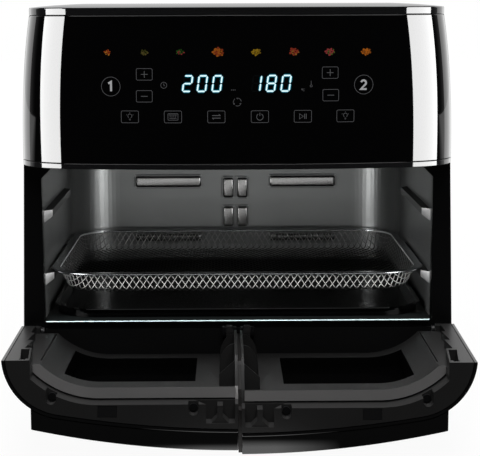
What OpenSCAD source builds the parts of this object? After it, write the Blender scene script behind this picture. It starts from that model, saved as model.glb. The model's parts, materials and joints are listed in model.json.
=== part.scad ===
// Countertop oven with two cooking zones and two drop-down doors.
// X runs to the right, Y to the back and Z up. The feet stand on z = 0.
// Both doors are drawn closed and are turned open about their hinge line.

/* [Housing] */
// Width of the housing's post beside the cavity, at the hinge line
post_w = 19; // [16:0.5:22]
// Distance that the posts are set back behind the corners' front plane
post_set = 4.5; // [4:0.5:5]
// Half width lost from the hinge line up to the header
side_taper = 4; // [2:0.5:6]
// Half width lost from the bottom of the header up to its top
header_taper = 8.5; // [5:0.5:12]
// Distance from the front posts to the back of the housing
body_depth = 330; // [310:1:350]
// How far the header and doors bow out in front of the posts
front_bow = 57.3; // [54:0.1:60]
// Radius of the housing's front corners, seen from above
corner_r = 52; // [46:1:56]
// Distance that the corner arcs' centres lie behind the posts
corner_back = 6.9; // [5:0.1:9]
// Wall of the moulded covers
wall = 2.5; // [2:0.1:3]
// Depth of the rear cover's rim
rear_rim = 14; // [10:1:18]
// Distance that the cord's gland stands out behind the housing
gland_out = 6; // [5:0.5:8]
// Height of the rear cover's bottom edge
rear_low = 22; // [18:1:30]
// Height of the cord's gland
cord_z = 50; // [42:1:56]
// Distance of the cord's gland from the middle of the oven
cord_x = 120; // [90:5:140]
// Gap between neighbouring pieces that are screwed together
gap = 0.3; // [0.2:0.05:0.5]

/* [Heights] */
// Height of the feet
foot_h = 6; // [5:0.5:10]
// Top of the base pan
base_top = 73; // [71:0.5:75.5]
// Floor of the cooking cavity
floor_z = 80; // [78:0.5:84]
// Bottom of the header
header_z = 226; // [224:1:240]
// Height of the glossy trim under the control fascia
trim_h = 5; // [4:0.5:7]
// Top of the header's walls
header_top = 358; // [350:1:366]
// Height of the domed top cover
crown_h = 10; // [8:0.5:14]
// Ceiling of the cooking cavity
ceiling_z = 264; // [260:1:272]

/* [Cavity] */
// Half of the cavity's inner width
cavity_half = 178; // [172:0.5:184]
// Radius of the cavity's rear corners
cavity_corner = 50; // [40:1:60]
// Distance from the posts to the cavity's back wall
cavity_depth = 287; // [275:1:292]
// Thickness of the cavity's sheet
sheet = 0.8; // [0.6:0.1:1.2]
// Distance that the side rails stand into the cavity
rail_in = 7; // [6:0.5:8]
// Length of a side rail
rail_len = 170; // [150:1:200]
// Top of the lower rails, which carry the basket
rail_low = 121.2; // [116:0.2:126]
// Top of the upper rails
rail_high = 180; // [174:1:186]

/* [Bezel] */
// Depth of the front bezel
bezel_t = 14; // [12:0.5:16]
// Height of the mouth's chamfered upper corners
mouth_chamfer = 12; // [6:1:18]

/* [Doors] */
// Gap on each side of the seam between the doors
seam_gap = 1.5; // [1:0.1:2]
// Gap between the doors and what they close against
door_gap = 0.6; // [0.4:0.1:0.8]
// Distance from the hinge line to the bottom of the door
door_heel = 6; // [5.8:0.1:8]
// Height of the hinge line
hinge_z = 71; // [70:0.5:72]
// Distance that the hinge line lies in front of the posts
hinge_out = 4; // [3:0.5:5]
// Gap between the closed doors and the header
top_gap = 5; // [4:0.5:7]
// Thickness of the door's glossy outer skin
skin = 3; // [2.4:0.1:3.2]
// Depth of the door's plug face below the corners' front plane
plug_in = 22.9; // [21:0.1:26]
// Depth of the ledge round the plug
ledge_in = 33.4; // [31:0.1:36]
// Width of the ledge along the top of the door
ledge_w = 16.5; // [12:0.5:18]
// Radius of the plug's curved end
plug_r = 67; // [60:1:72]
// Distance from the door's side to the start of the plug's curved end
plug_side = 81; // [76:1:86]
// Depth of the flat strip between the plug and the door's rim
strip_in = 3; // [2:0.5:5]
// Width of the door's rim where it is widest
rim_w = 27; // [25:0.5:28]
// Height of the groove under the plug's end
groove_h = 1.5; // [1:0.1:2]
// Thickness of the wall along the seam
seam_wall = 2.4; // [2:0.1:3]
// Distance from the seam to the plug
plug_x = 17; // [15:0.5:20]
// Depth of the channel beside the seam
channel_in = 44; // [40:0.5:46]
// Thickness of the channel's ribs
rib_t = 1.6; // [1.2:0.1:2]
// Angle that the right door opens
right_open = 90; // [86:0.5:90]
// Angle that the left door opens
left_open = 88.5; // [86:0.5:90]

/* [Windows] */
// Distance from the middle of the oven to the window's inner edge
window_x = 37; // [32:1:42]
// Distance from the door's side to the window's outer edge
window_side = 50.5; // [48:0.5:60]
// Distance from the door's bottom edge to the window
window_up = 17.5; // [14:0.5:22]
// Height of the window
window_h = 89.5; // [80:0.5:94]
// Thickness of the window panes
pane = 3; // [2.5:0.5:4]
// Distance from the plug face to the inner pane
pane_sink = 7.5; // [6:0.5:9]
// Width of the pane's seat round the window
pane_seat = 4; // [3:0.5:5]

/* [Handles] */
// Distance that the handle stands out from the door at the seam
handle_out = 15.5; // [14:0.1:17]
// Distance from the door's side to the handle's end
handle_inset = 26.6; // [25:0.1:32]
// Radius of the handle's bowed face
handle_r = 796; // [760:1:840]
// Height of the handle
handle_h = 26; // [22:1:32]
// Thickness of the handle's lip
handle_lip = 5; // [4:0.5:6]
// Distance from the top of the door to the handle
handle_drop = 2; // [1:0.5:5]

/* [Hinges] */
// Radius of a hinge pin
pin_r = 3; // [2.5:0.1:3.2]
// Radial clearance between a pin and the door's eye
pin_clear = 0.05; // [0.03:0.01:0.08]
// Radius of the door's hinge eye
eye_r = 6.6; // [6:0.1:7]
// Width of a hinge eye
eye_w = 6; // [5.5:0.5:8]
// Thickness of a hinge bracket's lug
lug_t = 3; // [2.5:0.5:3]
// Distance from the door's side to the middle of the outer hinge
hinge_side = 14; // [13:0.5:16]
// Distance from the seam to the middle of the inner hinge
hinge_inner_x = 8; // [7.5:0.5:10]

/* [Basket and tray] */
// Gap between the basket's rim and the cavity's side
basket_gap = 3; // [2:0.1:4.5]
// Depth of the basket's rim
basket_depth = 266; // [245:1:272]
// Radius of the basket's corners
basket_corner = 44; // [38:1:46]
// Width of the basket's flat rim
basket_rim_w = 8; // [7.8:0.1:9]
// Depth of the basket below its rim
basket_drop = 18; // [16:0.5:22]
// Distance that the basket's walls lean inwards, from the rim to the floor
basket_lean = 9; // [4:0.5:12]
// Thickness of the woven mesh
mesh_t = 1.4; // [1.2:0.1:1.8]
// Side of one diamond in the mesh
mesh_pitch = 17; // [16:0.5:22]
// Width of the bars between the diamonds
mesh_bar = 3; // [2.4:0.1:4]
// Gap between the drip tray and the cavity's side
tray_gap = 5; // [4:0.5:12]
// Depth of the drip tray
tray_depth = 262; // [250:1:268]
// Height of the drip tray
tray_h = 8.4; // [6:0.2:10]
// Distance from the posts to the basket's rim
basket_front = 8; // [6:1:14]
// Distance from the posts to the drip tray
tray_front = 13; // [10:1:18]

/* [Fans and heaters] */
// Distance from the middle of the oven to a fan's axle
fan_x = 88; // [84:1:92]
// Distance from the posts to a fan's axle
fan_y = 150; // [140:1:160]
// Radius of a cooking fan
fan_r = 50; // [44:1:54]
// Number of blades on a fan
fan_blades = 8; // [5:1:12]
// Radius of a fan's axle
axle_r = 3; // [2.5:0.1:3.5]
// Radius of the circle of studs that carry a guard
stud_ring = 78; // [76:1:82]
// Radius of the heating element's loop
element_loop = 68; // [64:1:70]
// Radius of the heating element's tube
element_r = 3.3; // [3:0.1:3.6]
// Radius of a motor's can
motor_r = 30; // [26:1:34]
// Height of a motor's can
motor_h = 34; // [28:1:38]

/* [Hidden] */
$fn = 48;
eps = 0.01;
far = 1000; // longer than the oven, for cuts that go right through

// The origin is the middle of the open oven's footprint.
half_width = cavity_half + post_w;
door_top = header_z - top_gap;
open_reach = hinge_out + door_top - hinge_z;
post_y = (open_reach - body_depth - gland_out) / 2;
back_y = post_y + body_depth;
rear_seam = back_y - rear_rim - gap;
chin_y = post_y + post_set;
corner_y = post_y + corner_back;
taper_angle = atan(side_taper / (header_z - hinge_z));
header_half = half_width - side_taper;
handle_end = half_width - handle_inset;
hinge_outer_x = half_width - hinge_side;
window_w = half_width - window_side - window_x;
basket_half = cavity_half - basket_gap;
tray_half = cavity_half - tray_gap;
door_bottom = hinge_z + door_heel;
window_z = door_bottom + window_up;
bezel_back = post_y + bezel_t;
wrap_front = bezel_back + gap;
wall_y = post_y + cavity_depth;
hinge_y = post_y - hinge_out;

// Radius of the front arc that meets both corner arcs without a kink
function front_r(half) =
  let (x = half - corner_r, rise = front_bow + corner_back)
  (x * x + rise * rise - corner_r * corner_r) / (2 * (rise - corner_r));
// Where the front arc and a corner arc meet, as a distance from the middle
function meet_x(half, inset) =
  let (x = half - corner_r, r = front_r(half))
  x + (corner_r - inset) * x / (r - corner_r);
function header_half_at(z) =
  header_half - header_taper * pow(max(0, z - header_z) / (header_top - header_z), 2.5);

module side(s) {
  mirror([s < 0 ? 1 : 0, 0, 0]) children();
}

module both_sides() {
  children();
  mirror([1, 0, 0]) children();
}

// The housing seen from above: bowed front, round corners, straight sides
module plan(half, inset = 0, back = back_y) {
  r = front_r(half);
  x = meet_x(half, inset);
  intersection() {
    translate([0, post_y - front_bow + r]) circle(r = r - inset, $fn = 480);
    translate([-x, post_y - front_bow - 1])
      square([2 * x, front_bow + corner_back + 1]);
  }
  both_sides()
    translate([half - corner_r, corner_y]) circle(r = corner_r - inset, $fn = 72);
  translate([inset - half, corner_y]) square([2 * (half - inset), back - corner_y]);
}

module rounded_rect(w, d, r) {
  translate([-w / 2, r]) square([w, d - 2 * r]);
  translate([r - w / 2, 0]) square([w - 2 * r, d]);
  for (x = [r - w / 2, w / 2 - r], y = [r, d - r]) translate([x, y]) circle(r = r);
}

// Extrudes a front view, drawn in X and Z, from y1 back to y2
module from_front(y1, y2) {
  translate([0, y2, 0]) rotate([90, 0, 0]) linear_extrude(y2 - y1) children();
}

module block(x1, x2, y1, y2, z1, z2) {
  translate([x1, y1, z1]) cube([x2 - x1, y2 - y1, z2 - z1]);
}

// The housing's straight side in front view, between two heights
module side_outline(z1, z2, inset = 0) {
  half1 = half_width - (z1 - hinge_z) * tan(taper_angle) - inset;
  half2 = half_width - (z2 - hinge_z) * tan(taper_angle) - inset;
  polygon([[-half1, z1], [half1, z1], [half2, z2], [-half2, z2]]);
}

// ---- Base ----

module base_pan() {
  w = 2 * (half_width - 1);
  d = rear_seam - chin_y;
  r = 8;
  vents = floor((half_width - 70) / 20);
  color("#1c1c1e") difference() {
    translate([0, chin_y, foot_h]) linear_extrude(base_top - foot_h) rounded_rect(w, d, r);
    translate([0, chin_y + wall, foot_h + wall + 0.5])
      linear_extrude(base_top) rounded_rect(w - 2 * wall, d - 2 * wall, r - wall);
    for (k = [-vents:vents], y = [chin_y + d / 4, chin_y + 2 * d / 3])
      block(20 * k - 3, 20 * k + 3, y, y + 45, foot_h - 1, foot_h + wall + 1);
    feet_places() translate([0, 0, foot_h - 1]) cylinder(r = 4.1, h = wall + 3);
  }
}

module feet_places() {
  foot_x = half_width - 32;
  for (x = [-foot_x, foot_x], y = [chin_y + 28, rear_seam - 28]) translate([x, y, 0]) children();
}

module feet() {
  color("#101010") feet_places() {
    cylinder(r = 12, h = foot_h);
    translate([0, 0, foot_h - eps]) cylinder(r = 4, h = wall + 0.5);
  }
}

// ---- Housing ----

// The mouth of the cavity with chamfered upper corners
module mouth() {
  x = cavity_half - 0.5;
  top = header_z - 2;
  polygon([
    [-x, floor_z], [x, floor_z], [x, top - mouth_chamfer], [x - mouth_chamfer, top],
    [mouth_chamfer - x, top], [-x, top - mouth_chamfer],
  ]);
}

module front_bezel() {
  color("#151517") {
    from_front(chin_y, bezel_back) difference() {
      union() {
        side_outline(base_top + gap, header_z - gap);
        translate([-header_half + 9, floor_z])
          square([2 * header_half - 18, ceiling_z - floor_z]);
      }
      mouth();
      translate([-half_width, 0]) square([2 * half_width, floor_z + eps]);
    }
    both_sides() from_front(chin_y, bezel_back) intersection() {
      side_outline(base_top + gap, floor_z + 2 * eps);
      translate([cavity_half - 0.5, 0]) square([half_width, header_z]);
    }
    block(-cavity_half - 8, cavity_half + 8, chin_y, bezel_back, base_top + gap, floor_z);
    block(3 - cavity_half, cavity_half - 3, post_y, chin_y + eps, floor_z - 1.5, floor_z);
  }
}

module sill_strip() {
  color("#9fb4b4")
    block(-cavity_half + 2, cavity_half - 2, post_y + 0.5, post_y + 30, floor_z, floor_z + 0.8);
}

module side_panel() {
  difference() {
    from_front(bezel_back + gap, rear_seam) difference() {
      side_outline(base_top + gap, header_z - gap);
      side_outline(base_top - 1, header_z + 1, wall);
      translate([-half_width - 1, 0]) square([half_width + 1, far]);
    }
    for (k = [0:8])
      block(half_width - 15, half_width + 1, bezel_back + 200 + 9 * k,
        bezel_back + 204 + 9 * k, base_top + 20, base_top + 60);
  }
}

module rear_cover() {
  top = header_top - gap;
  slots = floor((header_half - 60) / 13);
  color("#17171a") difference() {
    from_front(back_y - rear_rim, back_y) rear_outline(0, rear_low, top);
    from_front(back_y - rear_rim - 1, back_y - wall)
      rear_outline(wall, rear_low + wall, top - wall);
    for (k = [-slots:slots])
      block(13 * k - 2.5, 13 * k + 2.5, back_y - wall - 1, back_y + 1, ceiling_z + 11,
        ceiling_z + 56);
    translate([-cord_x, back_y - wall - 1, cord_z]) rotate([-90, 0, 0])
      cylinder(r = 6.2, h = wall + 2);
  }
}

// The rear cover follows the housing's sides, in four straight steps in the header
module rear_outline(inset, z1, z2) {
  steps = [for (k = [0:4]) header_z + (z2 - header_z) * k / 4];
  right = [
    [half_width - inset, z1], [half_width - inset, hinge_z],
    for (z = steps) [header_half_at(min(z, header_top)) - inset, z],
  ];
  polygon(concat(right, [for (k = [len(right) - 1:-1:0]) [-right[k][0], right[k][1]]]));
}

// ---- Header ----

// The header's curved body between two heights, drawn in from its face by inset
module header_body(z1, z2, inset = 0, back = rear_seam, steps = 5) {
  hull() for (k = [0:steps]) {
    z = z1 + (z2 - z1) * k / steps;
    translate([0, 0, min(z, z2 - eps)]) linear_extrude(eps)
      plan(header_half_at(min(z, header_top)), inset, back);
  }
}

module header_shell() {
  color("#121214") difference() {
    union() {
      intersection() {
        header_body(header_z, header_top);
        block(-far, far, corner_y + 0.2, far, 0, far);
      }
      header_body(header_z, header_top, skin + gap);
    }
    header_body(header_z + wall, header_top + 1, skin + gap + wall, 2 * back_y);
    block(-header_half + 8.7, header_half - 8.7, chin_y - gap, back_y, header_z - 1,
      header_z + wall + 1);
    for (x = [-magnet_x, magnet_x]) translate([x, post_y - magnet_in, header_z - 1])
      block(-magnet_w / 2 - gap, magnet_w / 2 + gap, -magnet_d / 2 - gap, magnet_d / 2 + gap, 0,
        wall + 2);
  }
}

// A curved front piece that wraps the header between two heights
module header_front(z1, z2, steps) {
  difference() {
    header_body(z1, z2, 0, corner_y + 1, steps);
    header_body(z1 - 1, z2 + 1, skin, corner_y + 2, steps);
    block(-far, far, corner_y, far, 0, far);
  }
}

module header_trim() {
  color("#0b0b0c") header_front(header_z, header_z + trim_h - gap, 1);
}

module control_fascia() {
  color("#050506") header_front(header_z + trim_h, header_top - gap, 4);
}

module top_cover() {
  dome = [[0, 0], [0.4, 0.8], [0.65, 2.4], [0.85, 5.5], [1, 12]];
  half = header_half_at(header_top);
  color("#0e0e10") difference() {
    hull() for (p = dome)
      translate([0, 0, header_top + crown_h * p[0] - (p[0] == 1 ? eps : 0)])
        linear_extrude(eps) plan(half, p[1], back_y - p[1]);
    hull() for (p = [[0, 3], [0.4, 4.5], [0.7, 9]])
      translate([0, 0, header_top + crown_h * p[0] - 0.02])
        linear_extrude(eps) plan(half, p[1], back_y - p[1]);
    for (x = [-110:22:110], y = [60, 46])
      block(x - 7, x + 7, back_y - y, back_y - y + 5, header_top - 1, far);
  }
}

module door_magnets() {
  color("#3c3c40") for (x = [-magnet_x, magnet_x])
    translate([x, post_y - magnet_in, header_z + 0.2])
      block(-magnet_w / 2, magnet_w / 2, -magnet_d / 2, magnet_d / 2, 0, 9);
}

// ---- Cavity ----

module wrap_plan(inset) {
  half = cavity_half + inset;
  r = cavity_corner + inset;
  translate([-half, wrap_front - 1]) square([2 * half, wall_y + inset - wrap_front + 1 - r]);
  translate([r - half, wrap_front - 1])
    square([2 * (half - r), wall_y + inset - wrap_front + 1]);
  both_sides() translate([half - r, wall_y + inset - r]) circle(r = r, $fn = 96);
}

// A pressed rail on the right wall: a ridge with sloping ends
module side_rail(top) {
  y1 = wrap_front + 8;
  x = cavity_half + 0.1;
  intersection() {
    from_front(y1, y1 + rail_len) polygon([
      [x, top - 11], [x, top], [x - rail_in, top], [x - rail_in, top - 6],
    ]);
    linear_extrude(far) polygon([
      [x, y1], [x - rail_in - 1, y1 + 9], [x - rail_in - 1, y1 + rail_len - 9],
      [x, y1 + rail_len],
    ]);
  }
}

// A rib on the back wall, between two heights above the cavity's floor
module wall_rib(x1, x2, z1, z2) {
  block(x1, x2, wall_y - 3, wall_y + 0.1, floor_z + z1, floor_z + z2);
}

module cavity_wrap() {
  color("#3b4344") {
    translate([0, 0, floor_z]) linear_extrude(ceiling_z - floor_z) difference() {
      wrap_plan(sheet);
      wrap_plan(0);
      translate([-far, wrap_front - far]) square([2 * far, far]);
    }
    both_sides() {
      side_rail(rail_low);
      side_rail(rail_high);
      for (z = [44, 76]) wall_rib(1.1, 14.4, z, z + 24);
      wall_rib(37, 111, 28, 37);
      wall_rib(37, 111, 88, 102);
    }
  }
}

module cavity_floor() {
  color("#33393a") translate([0, 0, floor_z - sheet]) linear_extrude(sheet - eps) intersection() {
    wrap_plan(sheet);
    translate([-far, wrap_front]) square([2 * far, far]);
  }
}

module zone_places() {
  for (s = [-1, 1]) side(s) translate([fan_x, post_y + fan_y, 0]) children();
}

magnet_x = 108;
magnet_in = 39;
magnet_w = 15;
magnet_d = 9;
lamp_place = [150, 48];
lamp_r = 14.7;
stud_r = 2;
sensor_place = [140, 230];

module cavity_ceiling() {
  color("#3b4344") translate([0, 0, ceiling_z + eps]) linear_extrude(sheet) difference() {
    intersection() {
      wrap_plan(sheet);
      translate([-far, wrap_front]) square([2 * far, far]);
    }
    both_sides() {
      translate([fan_x, post_y + fan_y]) circle(r = axle_r + 3);
      translate([lamp_place[0], post_y + lamp_place[1]]) circle(r = lamp_r + gap);
      translate([sensor_place[0], post_y + sensor_place[1]]) circle(r = 2.2);
      for (x = [-terminal_x, terminal_x])
        translate([fan_x + x, post_y + fan_y + terminal_y]) circle(r = terminal_r + gap);
      for (a = [45:90:315]) translate([fan_x, post_y + fan_y])
        rotate(a) translate([stud_ring, 0]) circle(r = stud_r + 0.1);
    }
  }
}

// ---- Heat ----

terminal_x = 7;
terminal_y = sqrt(pow(element_loop, 2) - pow(terminal_x, 2));
terminal_r = element_r + 0.4;

// A tube bent to an open loop, with both ends standing up through the ceiling
module element() {
  loop_z = ceiling_z - 22;
  gap_angle = 2 * asin(terminal_x / element_loop);
  color("#6b6f70") translate([fan_x, post_y + fan_y, loop_z]) {
    rotate([0, 0, 90 + gap_angle / 2]) rotate_extrude(angle = 360 - gap_angle, $fn = 96)
      translate([element_loop, 0]) circle(r = element_r);
    for (x = [-terminal_x, terminal_x])
      translate([x, terminal_y, -terminal_r]) cylinder(r = terminal_r, h = 44);
  }
}

guard_drop = 32;
guard_t = 1.6;

// A round grid of flat rings on spokes
module guard() {
  color("#55595a") translate([fan_x, post_y + fan_y, ceiling_z - guard_drop]) {
    for (r = [14:8:stud_ring]) difference() {
      cylinder(r = r + 1.2, h = guard_t, $fn = 72);
      translate([0, 0, -1]) cylinder(r = r - 1.2, h = 4, $fn = 72);
    }
    for (a = [45:90:315]) rotate(a) translate([12, -1.5, 0])
      cube([stud_ring - 12 + stud_r, 3, guard_t]);
  }
}

// Four studs for each guard, which hang it from the ceiling
module guard_studs() {
  color("#8d9091") zone_places() for (a = [45:90:315])
    rotate(a) translate([stud_ring, 0, ceiling_z - guard_drop + guard_t])
      cylinder(r = stud_r, h = guard_drop - guard_t + sheet + 3);
}

module impeller() {
  z = ceiling_z - 14;
  color("#7d8183") translate([fan_x, post_y + fan_y, z]) {
    difference() {
      union() {
        cylinder(r = fan_r, h = 1);
        cylinder(r = 8, h = 9);
        for (k = [0:fan_blades - 1]) rotate(360 * k / fan_blades)
          translate([12, -0.6, 0.5]) cube([fan_r - 14, 1.2, 10.5]);
      }
      translate([0, 0, -1]) cylinder(r = axle_r, h = 20);
    }
  }
}

module axle() {
  color("#b9bcbd") translate([fan_x, post_y + fan_y, ceiling_z - 16])
    cylinder(r = axle_r, h = motor_z + motor_h + 18 - ceiling_z + 16);
}

module cooler() {
  color("#2a2a2c") translate([fan_x, post_y + fan_y, motor_z + motor_h + 5]) difference() {
    union() {
      cylinder(r = 9, h = 9);
      for (k = [0:6]) rotate(360 * k / 7) translate([5, 0, 4.5]) rotate([28, 0, 0])
        translate([0, -5, -0.8]) cube([33, 10, 1.6]);
    }
    translate([0, 0, -1]) cylinder(r = axle_r, h = 20);
  }
}

bracket_h = 9;
motor_z = ceiling_z + sheet + bracket_h;

module motor() {
  color("#8d9091") translate([fan_x, post_y + fan_y, motor_z]) difference() {
    union() {
      cylinder(r = motor_r, h = motor_h);
      translate([0, 0, motor_h - eps]) cylinder(r = 8, h = 3);
    }
    translate([0, 0, -1]) cylinder(r = axle_r + pin_clear, h = motor_h + 10);
  }
}

module motor_brackets() {
  color("#9a9d9e") zone_places() {
    z = ceiling_z + sheet + 2 * eps;
    difference() {
      translate([-44, -12, z + bracket_h - 1.5 - 3 * eps]) cube([88, 24, 1.5]);
      cylinder(r = axle_r + 1, h = far);
    }
    for (x = [-44, 42.5]) translate([x, -12, z]) cube([1.5, 24, bracket_h - 4 * eps]);
    for (x = [-56, 43]) translate([x, -12, z]) cube([13, 24, 1.5]);
  }
}

// ---- Lamps and sensors ----

module lamp() {
  color("#d8d4c4") translate([lamp_place[0], post_y + lamp_place[1], ceiling_z + 5])
    difference() {
      cylinder(r = 17, h = 26);
      translate([0, 0, -1]) cylinder(r = 14, h = 18);
    }
}

module lamp_lenses() {
  color("#f4efdc") both_sides()
    translate([lamp_place[0], post_y + lamp_place[1], ceiling_z - 2]) {
      cylinder(r = lamp_r, h = 6);
      translate([0, 0, sheet + 2 + 0.1]) cylinder(r = 17, h = 4.8 - sheet);
    }
}

module heat_sensors() {
  color("#b0b3b4") both_sides()
    translate([sensor_place[0], post_y + sensor_place[1], ceiling_z - 22]) {
      cylinder(r = 2, h = 30);
      translate([0, 0, 22 + sheet + 0.1]) cylinder(r = 5, h = 5);
    }
}

module door_switches() {
  color("#a33a2e") both_sides()
    block(header_half - 43, header_half - 23, post_y - 22, post_y - 14, header_z + wall,
      header_z + wall + 12);
}

// ---- Electronics ----

module control_board() {
  color("#1f5c3a") block(-150, 150, post_y - 24, post_y - 22.4, header_z + 12, header_top - 10);
  color("#1f5c3a") both_sides() for (z = [header_z + 18, header_top - 20])
    block(100, 108, post_y - 43.9, post_y - 24, z, z + 8);
}

module display_module() {
  half = 62;
  z = header_z + 70;
  color("#202225") block(-half, half, post_y - 40, post_y - 24 - eps, z, z + 26);
}

module power_board() {
  z = ceiling_z + 22;
  y1 = post_y + fan_y - 60;
  y2 = post_y + fan_y + 60;
  color("#2b6a45") block(-46, 46, y1, y2, z, z + 1.6);
  color("#2a2a2a") block(-36, -6, y1 + 20, y1 + 55, z + 1.6 - eps, z + 26);
  color("#2a2a2a") for (x = [8, 28], y = [y1 + 20, y1 + 60])
    translate([x, y, z + 1.6 - eps]) cylinder(r = 8, h = 20);
  color("#c9c9c0") for (x = [-42, 42], y = [y1 + 6, y2 - 6])
    translate([x, y, ceiling_z + sheet + 2 * eps])
      cylinder(r = 3, h = z - ceiling_z - sheet - eps);
}

module cord_gland() {
  color("#111113") translate([-cord_x, back_y, cord_z]) rotate([-90, 0, 0]) difference() {
    union() {
      translate([0, 0, gap / 2]) cylinder(r = 10, h = 5);
      translate([0, 0, -wall - 4]) cylinder(r = 6, h = wall + 4 + gland_out);
      translate([0, 0, -wall - 4]) cylinder(r = 9, h = 3.7);
    }
    translate([0, 0, -20]) cylinder(r = 3.5, h = 60);
  }
}

// ---- Hinges ----

hinge_xs = [hinge_inner_x, hinge_outer_x];

module hinge_brackets() {
  lug_r = door_heel - 0.5;
  color("#5a5d60") both_sides() for (x = hinge_xs, s = [-1, 1])
    translate([x + s * (eye_w / 2 + 0.4 + lug_t / 2), hinge_y, hinge_z])
      rotate([90, 0, 90]) translate([0, 0, -lug_t / 2]) linear_extrude(lug_t) difference() {
        union() {
          circle(r = lug_r);
          translate([0, -lug_r - 1]) square([chin_y - hinge_y - eps, lug_r + 1]);
        }
        circle(r = pin_r + 0.02);
      }
}

module hinge_pins() {
  len = eye_w + 0.8 + 2 * lug_t;
  color("#c4c7c9") both_sides() for (x = hinge_xs)
    translate([x - len / 2, hinge_y, hinge_z]) rotate([0, 90, 0]) cylinder(r = pin_r, h = len);
}

// ---- Doors, drawn closed on the right ----

module open_door(angle) {
  translate([0, hinge_y, hinge_z]) rotate([angle, 0, 0])
    translate([0, -hinge_y, -hinge_z]) children();
}

// The door's body between two insets of the housing's outline
module door_solid(inset, z1 = door_bottom, z2 = door_top, x1 = seam_gap) {
  intersection() {
    translate([0, 0, hinge_z]) rotate([0, -taper_angle, 0]) translate([0, 0, -20])
      linear_extrude(header_z) plan(half_width, inset, chin_y + 20);
    block(x1, far, -far, chin_y - door_gap, z1, z2);
  }
}

// The hollow above the closed door's plug or ledge, seen from above
module door_hollow(d = plug_in) {
  x = half_width - plug_side;
  intersection() {
    union() {
      translate([-far, post_y - d]) square([x + far, far]);
      translate([x, post_y - plug_in + plug_r]) circle(r = plug_r + d - plug_in, $fn = 144);
    }
    translate([seam_x, -far]) square([half_width - rim_w - seam_x, 2 * far]);
  }
}

module window_cut(grow, y1, y2) {
  block(window_x - grow, window_x + window_w + grow, y1, y2,
    window_z - grow, window_z + window_h + grow);
}

// Extrudes a side view, drawn in Y and Z, from x1 to x2
module from_side(x1, x2) {
  translate([x1, 0, 0]) rotate([90, 0, 90]) linear_extrude(x2 - x1) children();
}

module door_shell() {
  color("#08080a") difference() {
    door_solid(0);
    door_solid(skin, door_bottom - 1, door_top + 1, -5);
    window_cut(pane_seat + gap, -far, post_y);
  }
}

module door_outer_pane() {
  color([0.05, 0.05, 0.06, 0.6]) intersection() {
    difference() {
      door_solid(0);
      door_solid(skin, door_bottom - 1, door_top + 1, -5);
    }
    window_cut(pane_seat, -far, post_y);
  }
}

module door_inner_pane() {
  y = post_y - plug_in - pane_sink;
  color([0.2, 0.22, 0.23, 0.5]) window_cut(pane_seat, y - pane, y);
}

seam_x = seam_gap + seam_wall;
top_ledge = door_top - ledge_w;
screw_xs = [38, half_width - 43.5];

// Depth of the ledge at a distance from the middle of the oven
function ledge_at(x) =
  let (r = plug_r + ledge_in - plug_in, out = max(0, x - half_width + plug_side))
  ledge_in - r + sqrt(r * r - out * out);
function screw_in(x) = ledge_at(x) + 5;

// One of the channel's ribs, whose top is a quarter of an oval
module channel_rib(z) {
  w = plug_x - seam_x;
  h = 20.5;
  low = plug_in + 2.1;
  translate([0, 0, z]) linear_extrude(rib_t) polygon([
    for (a = [0:10:90]) [seam_x - eps + w * cos(a), post_y - low + h * sin(a)],
    [seam_x - eps, post_y - channel_in - eps], [plug_x + eps, post_y - channel_in - eps],
    [plug_x + eps, post_y - low],
  ]);
}

// The ribs that stand in the channel between the seam's wall and the plug
module channel_ribs() {
  channel_rib(door_bottom - 1.5 + rib_t);
  channel_rib(door_bottom - 1.5);
  channel_rib(door_bottom + 43);
  // the last rib slopes straight down from the seam's wall to the plug
  translate([0, 0, door_bottom + 107]) linear_extrude(rib_t) polygon([
    [seam_x - eps, post_y - 5], [seam_x - eps, post_y - channel_in - eps],
    [plug_x + eps, post_y - channel_in - eps], [plug_x + eps, post_y - 16.6],
  ]);
}

// Two pockets in the end face beside the seam, with a rib between them that flares at its foot
module end_pockets() {
  x1 = seam_x + 0.1;
  deep = ledge_in + 16;
  difference() {
    from_front(post_y - deep, post_y) polygon([
      [x1, top_ledge + 1.5], [plug_x + 20, top_ledge + 1.5], [plug_x + 10, door_top + 1],
      [x1, door_top + 1],
    ]);
    translate([0, 0, top_ledge]) linear_extrude(ledge_w - 1.5) polygon([
      [x1 + 5, post_y - deep - eps], [x1 + 10, post_y - deep + 5], [x1 + 10, post_y - ledge_in - 1.5],
      [x1 + 14.5, post_y - ledge_in - 1.5], [x1 + 14.5, post_y - deep + 5],
      [x1 + 19.5, post_y - deep - eps],
    ]);
  }
}

// The latch's pocket and hook hole in the door's rim, which leans inwards towards its end
module rim_pockets() {
  x = half_width - rim_w;
  from_front(post_y - 12, far) polygon([
    [x + 6, door_bottom + 100], [x + 13, door_bottom + 100], [x + 8.5, door_bottom + 137],
    [x + 2, door_bottom + 137],
  ]);
  block(x + 4, x + 9, post_y - 6, far, door_bottom + 137 - eps, door_bottom + 140.5);
}

// The flat strip beside the rim, whose edge has three hooks for the latch
module rim_strip() {
  x = half_width - rim_w;
  from_front(post_y - strip_in, far) polygon([
    [x - 20, door_bottom - 1], [x + 14, door_bottom - 1], [x + 14, door_bottom + 31],
    [x + 10.5, door_bottom + 31], [x + 13, door_bottom + 63], [x + 8, door_bottom + 63],
    [x + 10.5, door_bottom + 95], [x + 4.5, door_bottom + 95], [x, door_top + 1],
    [x - 20, door_top + 1],
  ]);
}

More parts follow.
